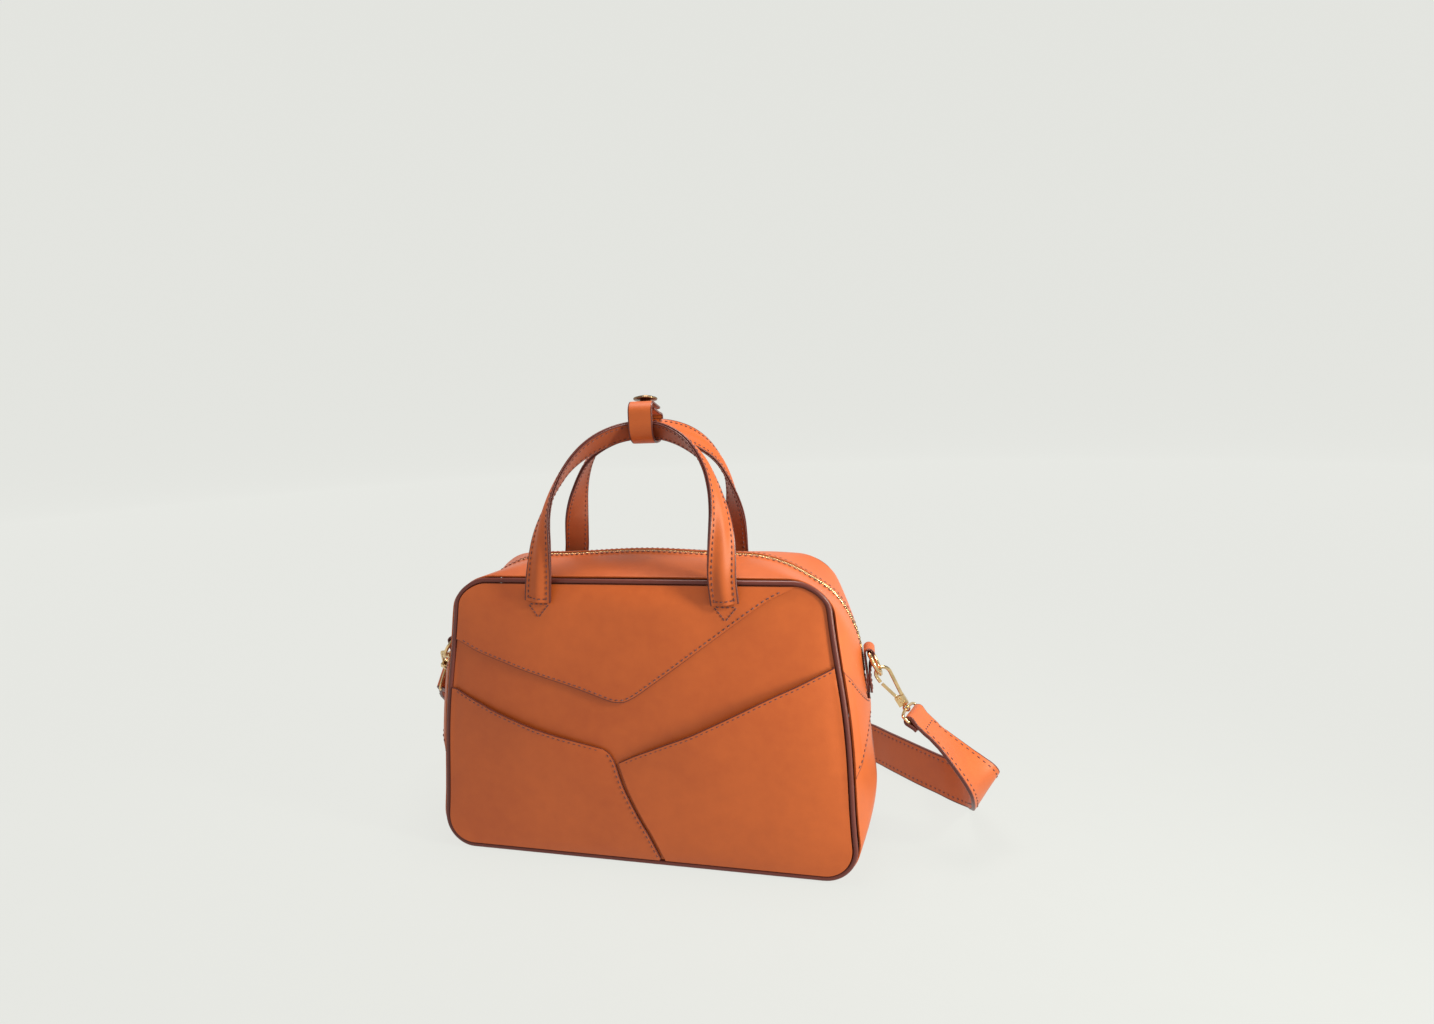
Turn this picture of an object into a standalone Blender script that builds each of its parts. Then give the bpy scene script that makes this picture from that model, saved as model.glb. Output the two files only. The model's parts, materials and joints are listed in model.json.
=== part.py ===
"""Bowler bag: leather panels, piping, zip, two handles with a keeper, and a clip-on shoulder strap.

Metres, +Z up. The bag stands on z = 0 with its base centre at the origin, its front towards -Y
and its width along X. Driving sizes come first, then the rules that shape the body, then one
function for each group of pieces.
"""
import math

import bmesh
import bpy
from mathutils import Matrix, Vector

# Fit between pieces
GAP = 0.0003
LAYER_GAP = 0.0006
CUT_OVERRUN = 0.002

# Front and back walls: rounded trapezoids, measured at the groove inside the piping
WALL_HALF_BOTTOM = 0.155
WALL_HALF_TOP = 0.137
WALL_HEIGHT = 0.2091
WALL_BOTTOM_RADIUS = 0.0195
WALL_TOP_RADIUS = 0.023
WALL_SIDE_BOW = 0.003
WALL_PUFF = 0.009
BASE_DEPTH = 0.130
TOP_DEPTH = 0.100

# Outline half way between the walls, where the zip runs
MIDDLE_HALF_BOTTOM = 0.1775
MIDDLE_HALF_TOP = 0.1548
MIDDLE_HEIGHT = 0.2278
MIDDLE_BOTTOM_RADIUS = 0.054
MIDDLE_TOP_RADIUS = 0.088
MIDDLE_CROWN = 0.003

# Leather, lining and board
LEATHER = 0.0014
GUSSET_LEATHER = 0.0016
POCKET_GAPE = 0.0035
LINING = 0.0006
BOARD = 0.0018
BOARD_SIDE_INSET = 0.0005
BOARD_FRONT_INSET = 0.0170
INNER_POCKET_HALF_WIDTH = 0.085
INNER_POCKET_BOTTOM = 0.050
INNER_POCKET_TOP = 0.150
INNER_POCKET_STAND = 0.0012
LINING_INSET = 0.0060
LINING_REACH_SHARE = 0.84
PIPING_RADIUS = 0.0023
PIPING_SET_BACK = 0.0008

# Seams on the walls, as shares of the half width and of the height of the wall
UPPER_EDGE_SHARES = ((-0.914, 0.768), (-0.780, 0.713), (-0.621, 0.666), (-0.362, 0.607),
                     (-0.195, 0.573), (-0.105, 0.560), (-0.035, 0.568), (0.135, 0.654),
                     (0.378, 0.789), (0.612, 0.914), (0.705, 0.966))
LEFT_POCKET_TOP_SHARES = ((-0.933, 0.583), (-0.830, 0.549), (-0.720, 0.517), (-0.544, 0.464),
                          (-0.371, 0.423), (-0.203, 0.395), (-0.153, 0.381))
LEFT_POCKET_SIDE_SHARES = ((-0.153, 0.381), (-0.120, 0.350), (-0.1045, 0.320), (-0.0445, 0.215),
                           (0.016, 0.124), (0.070, 0.052), (0.108, 0.004))
RIGHT_POCKET_TOP_SHARES = ((-0.090, 0.338), (0.125, 0.407), (0.368, 0.487), (0.602, 0.566),
                           (0.752, 0.633), (0.860, 0.678), (0.935, 0.711))

# Seams on the gussets, as shares of the straight side of an outline
SIDE_POINT_SHARE = 0.617
PATCH_TOP_SHARE = 0.752
PATCH_BOTTOM_SHARE = 0.282
PATCH_TIP_SHARE = 0.06
ZIP_END_SHARE = 0.86

# Zip
ZIP_OPENING = 0.0098
TAPE_WIDTH = 0.0140
TAPE_THICKNESS = 0.0006
CHAIN_WIDTH = 0.0056
CHAIN_RISE = 0.0008
CHAIN_HEIGHT = 0.0024
SLIDER_LENGTH = 0.0120
SLIDER_WALL = 0.0012
SLIDER_CLEARANCE = 0.0004
SLIDER_REST_DEGREES = 34.0
BRIDGE_LENGTH = 0.0066
BRIDGE_WIDTH = 0.0022
BRIDGE_HEIGHT = 0.0036
BRIDGE_HOLE_LENGTH = 0.0034
BRIDGE_HOLE_HEIGHT = 0.0020
PULL_BAR = 0.0011
PULL_EYE = 0.0048
PULL_WIDTH = 0.0070
PULL_PLATE = 0.0060
PULL_LEAN_DEGREES = 9.0
PULL_TAB_LENGTH = 0.0150
PULL_TAB_WIDTH = 0.0066
PULL_TAB_THICKNESS = 0.0010

# Handles: half of each arch, foot first; the legs turn over on their way up
HANDLE_WIDTH = 0.0205
HANDLE_STRAP = 0.0013
HANDLE_EDGE = 0.0015
HANDLE_CROWN = 0.0038
HANDLE_CORE_HALF = 0.0066
HANDLE_HALF_SPREAD = 0.0705
HANDLE_RISE = 0.1251
HANDLE_FOOT_DROP = 0.0173
HANDLE_LEAN = 0.0050
HANDLE_BACK_SHIFT = -0.0050
HANDLE_TOP_OFFSET = 0.0096
HANDLE_PATH_SHARES = ((1.000, 0.000, 1.000), (0.985, 0.088, 1.020), (0.973, 0.179, 1.010),
                      (0.969, 0.269, 0.965), (0.963, 0.359, 0.912), (0.950, 0.448, 0.861),
                      (0.926, 0.535, 0.795), (0.887, 0.618, 0.714), (0.835, 0.698, 0.622),
                      (0.769, 0.773, 0.528), (0.679, 0.841, 0.432), (0.570, 0.898, 0.330),
                      (0.443, 0.944, 0.225), (0.302, 0.977, 0.110), (0.153, 0.996, 0.012),
                      (0.000, 1.000, 0.000))
HANDLE_TURN_DEGREES = (0.0, 3.0, 9.0, 20.0, 31.0, 46.0, 61.0, 74.0, 83.0, 91.0, 101.0, 112.0,
                       121.0, 127.0, 130.0, 131.0)

# Keeper that holds the two handles together; its flap slopes down towards the back
KEEPER_CENTRE = 0.0053
KEEPER_WIDTH = 0.0188
KEEPER_LEATHER = 0.0016
KEEPER_CLEARANCE = 0.0007
KEEPER_RISE = 0.0219
KEEPER_HALF_DEPTH = 0.0212
KEEPER_SLOPE_DEGREES = 12.0
KEEPER_FLAP_LENGTH = 0.0285
KEEPER_RETURN = 0.0200
KEEPER_FRONT_SHARES = ((-0.575, 1.0), (-0.85, 0.955), (-0.985, 0.83), (-1.0, 0.60),
                       (-0.985, 0.36), (-0.80, 0.14), (-0.42, 0.02), (0.0, 0.0))
KEEPER_BACK_SHARES = ((0.42, 0.02), (0.80, 0.14), (0.985, 0.36), (1.0, 0.54), (0.915, 0.66))
SNAP_ALONG = 0.0118
SNAP_CAP_RADIUS = 0.0094
SNAP_CAP_HEIGHT = 0.0034
SNAP_CAP_STAND = 0.0012
SNAP_POST_RADIUS = 0.0016
SNAP_SOCKET_RADIUS = 0.0048
SNAP_SOCKET_HEIGHT = 0.0022
SNAP_STUD_RADIUS = 0.0022
SNAP_STUD_NECK = 0.0012
SNAP_BASE_RADIUS = 0.0042
SNAP_BASE_HEIGHT = 0.0008
SNAP_SIDES = 16

# Side tabs and their rings
TAB_WIDTH = 0.0200
TAB_LEATHER = 0.0014
TAB_STAND = 0.0012
TAB_FOLD_RADIUS = 0.0026
TAB_BOTTOM = 0.1190
TAB_BAR_HEIGHT = 0.1510
TAB_TIP_SHARE = 0.22
TAB_TAPER_SHARE = 0.62
TAB_CLOSING_SHARE = 0.45
RING_RADIUS = 0.0015
RING_HALF_WIDTH = 0.0125
RING_LENGTH = 0.0190
RING_FULLNESS = 1.0
RIGHT_RING_DEGREES = 25.0
LEFT_RING_DEGREES = 32.0

# Hooks, drawn along their own axis from the strap's ring to the jaw
RIGHT_HOOK_AXIS_SHARES = (-0.51, 0.04, 0.86)
LEFT_HOOK_AXIS_SHARES = (0.36, -0.70, 0.60)
HOOK_JAW_SHIFT = 0.0010
HOOK_JAW_CENTRE = 0.0372
HOOK_JAW_RADIUS = 0.0053
HOOK_WIRE = 0.00135
HOOK_TIP_BACK = 0.0045
BLOCK_LENGTH = 0.0072
BLOCK_HALF_HEIGHT = 0.0037
BLOCK_HALF_THICKNESS = 0.0028
BLOCK_SLOT_HALF = 0.0014
RIVET_FROM_BLOCK = 0.0046
RIVET_SHIFT = 0.0012
RIVET_RADIUS = 0.0009
RIVET_HEAD_RADIUS = 0.0018
RIVET_HEAD = 0.0006
RIVET_CLEARANCE = 0.0002
GATE_HALF_THICKNESS = 0.0010
GATE_HALF_HEIGHT = 0.0011
GATE_ROOT_RADIUS = 0.0018
SPINE_ROOT_SHIFT = 0.0022
SHANK_RADIUS = 0.0008
SHANK_HEAD_RADIUS = 0.0012
SHANK_HEAD = 0.0006
SHANK_CLEARANCE = 0.0002
SWIVEL_EYE_RADIUS = 0.0022
SWIVEL_WIRE = 0.00075
STRAP_RING_RADIUS = 0.0011
STRAP_RING_REACH = 0.0072
STRAP_RING_FULLNESS = 0.3

# Shoulder strap: a flat band that falls from the right hook, stands on edge behind the bag and
# rises to the left hook. Each row is a place of its middle line, as shares of how far the loop
# swings out, and its direction across; a place with no height stands on the floor.
STRAP_WIDTH = 0.0340
STRAP_THICKNESS = 0.0026
STRAP_TAIL = 0.0240
STRAP_STEP = 0.0110
STRAP_SWING = 0.2570
STRAP_ROUTE_SHARES = (
    ((0.928, -0.028, 0.254), (0.55, 0.83, 0.08)),
    ((0.960, -0.008, 0.206), (0.60, 0.74, 0.26)),
    ((0.968, 0.036, 0.168), (0.50, 0.68, 0.48)),
    ((0.962, 0.108, 0.139), (0.34, 0.60, 0.70)),
    ((0.952, 0.192, 0.108), (0.15, 0.48, 0.86)),
    ((0.940, 0.278, 0.073), (-0.12, 0.38, 0.92)),
    ((0.877, 0.348, 0.070), (-0.23, 0.32, 0.92)),
    ((0.803, 0.430, 0.070), (-0.18, 0.31, 0.93)),
    ((0.727, 0.520, 0.070), (-0.12, 0.23, 0.97)),
    ((0.645, 0.620, None), (-0.02, 0.10, 0.99)),
    ((0.500, 0.715, None), (0.00, 0.00, 1.00)),
    ((0.290, 0.785, None), (0.00, 0.00, 1.00)),
    ((0.000, 0.815, None), (0.00, 0.00, 1.00)),
    ((-0.290, 0.785, None), (0.00, 0.00, 1.00)),
    ((-0.480, 0.720, None), (0.00, 0.02, 1.00)),
    ((-0.640, 0.615, 0.080), (0.00, 0.10, 0.99)),
    ((-0.740, 0.500, 0.130), (0.02, 0.24, 0.97)),
    ((-0.788, 0.380, 0.210), (0.06, 0.42, 0.90)),
    ((-0.795, 0.285, 0.300), (0.08, 0.52, 0.85)),
)
RIGHT_RING_AXIS_SHARES = (-0.72, 0.22, 0.66)
RIGHT_STRAP_ACROSS_SHARES = (0.27, 0.96, -0.06)
LEFT_RING_AXIS_SHARES = (0.30, -0.74, 0.60)
LEFT_STRAP_ACROSS_SHARES = (0.10, 0.62, 0.78)

LEATHER_TAN = ((0.56, 0.20, 0.07), 0.48, 0.0)
LEATHER_EDGE = ((0.16, 0.04, 0.03), 0.42, 0.0)
LINING_TAN = ((0.45, 0.30, 0.17), 0.85, 0.0)
BOARD_GREY = ((0.20, 0.18, 0.16), 0.90, 0.0)
FELT = ((0.35, 0.24, 0.16), 0.95, 0.0)
TAPE_BROWN = ((0.30, 0.13, 0.06), 0.80, 0.0)
GOLD = ((0.83, 0.62, 0.30), 0.22, 1.0)
BRONZE = ((0.26, 0.17, 0.09), 0.40, 1.0)

# Height of the wall's lowest edge: the piping hangs below it and stays clear of the floor
WALL_FOOT = 2 * PIPING_RADIUS + 2 * GAP

# The handles are sewn on below the wall's top edge, and the keeper rises over them
HANDLE_FOOT_HEIGHT = WALL_FOOT + WALL_HEIGHT - HANDLE_FOOT_DROP
KEEPER_TOP = HANDLE_FOOT_HEIGHT + HANDLE_RISE + KEEPER_RISE

parts = None
cutters = None


def clear_scene():
    for scene_object in list(bpy.data.objects):
        bpy.data.objects.remove(scene_object, do_unlink=True)


def make_collections():
    global parts, cutters
    parts = bpy.data.collections.new("bowler_bag")
    cutters = bpy.data.collections.new("cutters")
    for collection in (parts, cutters):
        bpy.context.scene.collection.children.link(collection)


def finish(name, look):
    """One Principled material for one piece."""
    colour, roughness, metallic = look
    material = bpy.data.materials.new(name + "_finish")
    material.use_nodes = True
    shader = material.node_tree.nodes["Principled BSDF"]
    shader.inputs["Base Color"].default_value = (*colour, 1.0)
    shader.inputs["Roughness"].default_value = roughness
    shader.inputs["Metallic"].default_value = metallic
    material.diffuse_color = (*colour, 1.0)
    return material


def add_piece(name, data, look, place=None, collection=None):
    piece = bpy.data.objects.new(name, data)
    (collection or parts).objects.link(piece)
    if look:
        data.materials.append(finish(name, look))
    if place is not None:
        piece.matrix_world = place
    return piece


def add_mesh(name, bm, look, place=None, collection=None, smooth=True):
    mesh = bpy.data.meshes.new(name)
    bm.to_mesh(mesh)
    bm.free()
    if smooth:
        mesh.shade_smooth()
        mesh.set_sharp_from_angle(angle=math.radians(40))
    return add_piece(name, mesh, look, place, collection)


# Outlines

class Outline:
    """Half of a rounded trapezoid, from the middle of its base to the middle of its top."""

    def __init__(self, half_bottom, half_top, foot, height, bottom_radius, top_radius, bow, crown):
        self.half_bottom = half_bottom
        self.foot = foot
        self.height = height
        self.bow = bow
        self.crown = crown
        self.radii = (bottom_radius, top_radius)
        self.lean = math.atan2(half_bottom - half_top, height)
        self.low = self.centre(bottom_radius, bottom_radius)
        self.high = self.centre(height - top_radius, top_radius)

    def centre(self, level, radius):
        reach = self.half_bottom - level * math.tan(self.lean) - radius / math.cos(self.lean)
        return (reach, level)

    def on_arc(self, centre, radius, angle):
        x = centre[0] + radius * math.cos(angle)
        z = centre[1] + radius * math.sin(angle)
        return x, z, math.cos(angle), math.sin(angle)

    def point(self, section, share):
        """Place and outward direction at a share of one section of the right half."""
        bottom_radius, top_radius = self.radii
        quarter = math.pi / 2
        if section == "base":
            x, z, nx, nz = self.low[0] * share, 0.0, 0.0, -1.0
        elif section == "low":
            x, z, nx, nz = self.on_arc(self.low, bottom_radius, -quarter + (quarter + self.lean) * share)
        elif section == "high":
            x, z, nx, nz = self.on_arc(self.high, top_radius, self.lean + (quarter - self.lean) * share)
        elif section == "top":
            x = self.high[0] * (1 - share)
            z = self.height + self.crown * math.sin(quarter * share) ** 2
            nx, nz = 0.0, 1.0
        else:
            start = self.on_arc(self.low, bottom_radius, self.lean)
            end = self.on_arc(self.high, top_radius, self.lean)
            nx, nz = start[2], start[3]
            swell = self.bow * math.sin(math.pi * share) ** 2
            x = start[0] + (end[0] - start[0]) * share + nx * swell
            z = start[1] + (end[1] - start[1]) * share + nz * swell
        return x, z + self.foot, nx, nz

    def at(self, station, outward=0.0):
        side, section, share = station
        x, z, nx, nz = self.point(section, share)
        return side * (x + nx * outward), z + nz * outward, side * nx, nz


WALL = Outline(WALL_HALF_BOTTOM, WALL_HALF_TOP, WALL_FOOT, WALL_HEIGHT,
               WALL_BOTTOM_RADIUS, WALL_TOP_RADIUS, WALL_SIDE_BOW, 0.0)
MIDDLE = Outline(MIDDLE_HALF_BOTTOM, MIDDLE_HALF_TOP, 0.0, MIDDLE_HEIGHT,
                 MIDDLE_BOTTOM_RADIUS, MIDDLE_TOP_RADIUS, 0.0, MIDDLE_CROWN)


def shares(start, end, count):
    return [start + (end - start) * index / count for index in range(count + 1)]


def run(side, section, start, end, count):
    """Stations along one section, without the first one."""
    return [(side, section, share) for share in shares(start, end, count)[1:]]


def over_the_top(start, side_count=2, arc_count=8, top_count=4):
    """Stations from the right side, over the top, to the left side."""
    path = [(1, "side", start)]
    path += run(1, "side", start, 1.0, side_count)
    path += run(1, "high", 0.0, 1.0, arc_count)
    path += run(1, "top", 0.0, 1.0, top_count)
    path += run(-1, "top", 1.0, 0.0, top_count)
    path += run(-1, "high", 1.0, 0.0, arc_count)
    path += run(-1, "side", 1.0, start, side_count)
    return path


def under_the_base(start, side_count=3, arc_count=5, base_count=2):
    """Stations from the right side, under the base, to the left side."""
    path = [(1, "side", start)]
    path += run(1, "side", start, 0.0, side_count)
    path += run(1, "low", 1.0, 0.0, arc_count)
    path += run(1, "base", 1.0, 0.0, base_count)
    path += run(-1, "base", 0.0, 1.0, base_count)
    path += run(-1, "low", 0.0, 1.0, arc_count)
    path += run(-1, "side", 0.0, start, side_count)
    return path


# Surfaces of the body

def half_depth(z):
    share = (z - WALL_FOOT) / WALL_HEIGHT
    return (BASE_DEPTH + (TOP_DEPTH - BASE_DEPTH) * share) / 2


def wall_puff(x, z):
    level = (z - WALL_FOOT) / WALL_HEIGHT
    half_width = WALL_HALF_BOTTOM + (WALL_HALF_TOP - WALL_HALF_BOTTOM) * level
    across = max(0.0, 1 - (x / half_width) ** 2)
    along = max(0.0, 1 - (2 * level - 1) ** 2)
    return WALL_PUFF * across * along


def on_wall(x, z, outward, facing):
    """Point of the front (facing -1) or back (facing 1) wall, moved outward."""
    return Vector((x, facing * (half_depth(z) + wall_puff(x, z) + outward), z))


def gusset_point(station, reach, inward):
    """Point of the skin between the walls: reach is 0 at the zip and 1 or -1 at the pipings."""
    wall_x, wall_z, wall_nx, wall_nz = WALL.at(station, WALL_FOOT)
    mid_x, mid_z, mid_nx, mid_nz = MIDDLE.at(station)
    weight = reach * reach
    x = wall_x * weight + mid_x * (1 - weight)
    z = wall_z * weight + mid_z * (1 - weight)
    y = -reach * half_depth(z)
    outward = Vector((wall_nx * weight + mid_nx * (1 - weight), 0.0,
                      wall_nz * weight + mid_nz * (1 - weight))).normalized()
    along = Vector((-outward.z, 0.0, outward.x))
    across = Vector((2 * reach * (wall_x - mid_x), -half_depth(z), 2 * reach * (wall_z - mid_z)))
    normal = along.cross(across).normalized()
    if normal.dot(outward) < 0:
        normal.negate()
    return Vector((x, y, z)) - normal * inward


PIPING_END = 1 - (PIPING_RADIUS + PIPING_SET_BACK + GAP) / (TOP_DEPTH / 2)
TAPE_TOP = GUSSET_LEATHER + GAP
CHAIN_BOTTOM = TAPE_TOP - GAP
SLIDER_CENTRE = Vector((-MIDDLE.high[0], 0.0, MIDDLE.high[1]))


# Building tools

def sheet(name, look, columns, rows, place, thickness):
    """A grid laid on a surface and thickened behind it; place(i, j) gives each corner."""
    bm = bmesh.new()
    bmesh.ops.create_grid(bm, x_segments=columns, y_segments=rows, size=1.0)
    for vertex in bm.verts:
        column = round((vertex.co.x + 1) / 2 * columns)
        row = round((vertex.co.y + 1) / 2 * rows)
        vertex.co = place(column, row)
    piece = add_mesh(name, bm, look)
    solid = piece.modifiers.new("thickness", "SOLIDIFY")
    solid.thickness = thickness
    solid.offset = -1.0
    solid.use_even_offset = True
    return piece


def strip_mesh(frames, section):
    """A section of (across, up) points carried along frames of (point, across, up).

    Each patch is split along the same diagonal on both sides of a layer, so layers that lie
    on each other stay apart where they twist.
    """
    bm = bmesh.new()
    rings = []
    for point, across, up in frames:
        rings.append([bm.verts.new(point + across * a + up * b) for a, b in section])
    count = len(section)
    for first, second in zip(rings, rings[1:]):
        for index in range(count):
            following = (index + 1) % count
            corners = (first[index], first[following], second[following], second[index])
            if section[index][0] < section[following][0]:
                bm.faces.new((corners[0], corners[1], corners[2]))
                bm.faces.new((corners[0], corners[2], corners[3]))
            else:
                bm.faces.new((corners[0], corners[1], corners[3]))
                bm.faces.new((corners[1], corners[2], corners[3]))
    bm.faces.new(rings[0])
    bm.faces.new(list(reversed(rings[-1])))
    bmesh.ops.recalc_face_normals(bm, faces=bm.faces)
    return bm


def wire(name, look, points, radius, cyclic=False, place=None):
    """A round bar along points: a curve with a bevel, turned into a welded mesh."""
    curve = bpy.data.curves.new(name + "_line", "CURVE")
    curve.dimensions = "3D"
    curve.bevel_depth = radius
    curve.bevel_resolution = 1
    curve.use_fill_caps = True
    line = curve.splines.new("POLY")
    line.points.add(len(points) - 1)
    for spot, point in zip(line.points, points):
        spot.co = (*point, 1.0)
    line.use_cyclic_u = cyclic
    guide = bpy.data.objects.new(name + "_line", curve)
    cutters.objects.link(guide)
    if place is not None:
        guide.matrix_world = place
    bpy.context.view_layer.update()
    evaluated = guide.evaluated_get(bpy.context.evaluated_depsgraph_get())
    mesh = bpy.data.meshes.new_from_object(evaluated)
    mesh.name = name
    bm = bmesh.new()
    bm.from_mesh(mesh)
    bmesh.ops.remove_doubles(bm, verts=bm.verts, dist=GAP / 10)
    bmesh.ops.recalc_face_normals(bm, faces=bm.faces)
    bm.to_mesh(mesh)
    bm.free()
    mesh.materials.clear()
    mesh.shade_smooth()
    mesh.set_sharp_from_angle(angle=math.radians(50))
    piece = add_piece(name, mesh, look, guide.matrix_world.copy())
    bpy.data.objects.remove(guide, do_unlink=True)
    return piece


def drum(name, radius, length, place, sides=16, look=None, collection=None):
    """A cylinder from the origin of place along its own X axis."""
    bm = bmesh.new()
    bmesh.ops.create_cone(bm, cap_ends=True, segments=sides, radius1=radius, radius2=radius,
                          depth=length,
                          matrix=Matrix.Rotation(math.pi / 2, 4, "Y"))
    bmesh.ops.translate(bm, verts=bm.verts, vec=(length / 2, 0, 0))
    return add_mesh(name, bm, look, place, collection)


def block(name, low, high, place, look=None, collection=None):
    bm = bmesh.new()
    bmesh.ops.create_cube(bm, size=1.0)
    low = Vector(low)
    high = Vector(high)
    for vertex in bm.verts:
        vertex.co = Vector([low[axis] + (high[axis] - low[axis]) * (vertex.co[axis] + 0.5)
                            for axis in range(3)])
    return add_mesh(name, bm, look, place, collection, smooth=False)


def hide_cutter(cutter):
    cutter.hide_render = True
    cutter.display_type = "WIRE"


def combine(piece, other, operation):
    modifier = piece.modifiers.new(operation.lower(), "BOOLEAN")
    modifier.operation = operation
    modifier.object = other
    hide_cutter(other)


def frame_matrix(origin, x_axis, y_axis):
    """A frame with the given origin, X axis and, as near as may be, Y axis."""
    x_axis = Vector(x_axis).normalized()
    z_axis = x_axis.cross(Vector(y_axis)).normalized()
    y_axis = z_axis.cross(x_axis)
    matrix = Matrix((x_axis, y_axis, z_axis)).transposed().to_4x4()
    matrix.translation = Vector(origin)
    return matrix


def add_empty(name, place):
    empty = bpy.data.objects.new(name, None)
    parts.objects.link(empty)
    empty.matrix_world = place
    return empty


def hang_on(empty, pieces):
    bpy.context.view_layer.update()
    for piece in pieces:
        piece.parent = empty
        piece.matrix_parent_inverse = empty.matrix_world.inverted()


# Walls

def wall_spot(share_x, share_z):
    return share_x * WALL_HALF_BOTTOM, WALL_FOOT + share_z * WALL_HEIGHT


def resample(points, count):
    """The points of a line at even steps of its length."""
    lengths = [0.0]
    for (x0, z0), (x1, z1) in zip(points, points[1:]):
        lengths.append(lengths[-1] + math.hypot(x1 - x0, z1 - z0))
    result = []
    for share in shares(0.0, 1.0, count):
        target = share * lengths[-1]
        index = 0
        while index < len(points) - 2 and lengths[index + 1] < target:
            index += 1
        part = (target - lengths[index]) / (lengths[index + 1] - lengths[index])
        x0, z0 = points[index]
        x1, z1 = points[index + 1]
        result.append((x0 + (x1 - x0) * part, z0 + (z1 - z0) * part))
    return result


def edge_line(edge_shares, count):
    return resample([wall_spot(*pair) for pair in edge_shares], count)


def wall_line(stations, inset):
    return [WALL.at(station, -inset)[:2] for station in stations]


def stretch(bottom, top, left, right):
    """Grid of points that fills four boundary lines."""
    columns = len(bottom) - 1
    rows = len(left) - 1
    grid = []
    for i in range(columns + 1):
        u = i / columns
        line = []
        for j in range(rows + 1):
            v = j / rows
            spot = []
            for axis in range(2):
                value = (1 - v) * bottom[i][axis] + v * top[i][axis]
                value += (1 - u) * left[j][axis] + u * right[j][axis]
                value -= (1 - u) * ((1 - v) * bottom[0][axis] + v * top[0][axis])
                value -= u * ((1 - v) * bottom[-1][axis] + v * top[-1][axis])
                spot.append(value)
            line.append(tuple(spot))
        grid.append(line)
    return grid


def full_wall_grid(inset):
    arc = 3
    bottom = [(-1, "low", 0.5)] + run(-1, "low", 0.5, 0.0, arc) + run(-1, "base", 1.0, 0.0, 3)
    bottom += run(1, "base", 0.0, 1.0, 3) + run(1, "low", 0.0, 0.5, arc)
    top = [(-1, "high", 0.5)] + run(-1, "high", 0.5, 1.0, arc) + run(-1, "top", 0.0, 1.0, 3)
    top += run(1, "top", 1.0, 0.0, 3) + run(1, "high", 1.0, 0.5, arc)
    sides = []
    for side in (-1, 1):
        path = [(side, "low", 0.5)] + run(side, "low", 0.5, 1.0, arc)
        path += run(side, "side", 0.0, 1.0, 4) + run(side, "high", 0.0, 0.5, arc)
        sides.append(wall_line(path, inset))
    return stretch(wall_line(bottom, inset), wall_line(top, inset), sides[0], sides[1])


def wall_sheet(name, look, grid, outward, thickness, facing, gape=None):
    """A sheet on a wall; its face is outward of the wall's own surface."""
    columns = len(grid) - 1
    rows = len(grid[0]) - 1

    def place(i, j):
        column = i if facing < 0 else columns - i
        x, z = grid[column][j]
        extra = gape(column / columns, j / rows) if gape else 0.0
        return on_wall(x, z, outward + extra, facing)

    return sheet(name, look, columns, rows, place, thickness)


OVERLAY_FACE = LEATHER
PANEL_FACE = -LAYER_GAP
LINING_FACE = PANEL_FACE - LEATHER - LAYER_GAP


def make_walls():
    grid = full_wall_grid(GAP)
    wall_sheet("front_middle_panel", LEATHER_TAN, grid, PANEL_FACE, LEATHER, -1)
    wall_sheet("back_panel", LEATHER_TAN, grid, PANEL_FACE, LEATHER, 1)
    lining_grid = full_wall_grid(LINING_INSET)
    wall_sheet("lining_front", LINING_TAN, lining_grid, LINING_FACE, LINING, -1)
    wall_sheet("lining_back", LINING_TAN, lining_grid, LINING_FACE, LINING, 1)


def make_upper_panel():
    edge = edge_line(UPPER_EDGE_SHARES, 10)
    top = [(-1, "high", 0.5)] + run(-1, "high", 0.5, 1.0, 3) + run(-1, "top", 0.0, 1.0, 3)
    top += run(1, "top", 1.0, 0.0, 3) + run(1, "high", 1.0, 0.95, 1)
    start = side_share_at(edge[0][1])
    left = [(-1, "side", start)] + run(-1, "side", start, 1.0, 2) + run(-1, "high", 0.0, 0.5, 3)
    left_line = wall_line(left, GAP)
    top_line = wall_line(top, GAP)
    edge[0] = left_line[0]
    right_line = resample([edge[-1], top_line[-1]], 5)
    wall_sheet("front_upper_panel", LEATHER_TAN, stretch(edge, top_line, left_line, right_line),
               OVERLAY_FACE, LEATHER, -1)


def side_share_at(z):
    """Share of the wall's straight side at a height."""
    low = WALL.point("side", 0.0)[1]
    high = WALL.point("side", 1.0)[1]
    return (z - low) / (high - low)


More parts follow.
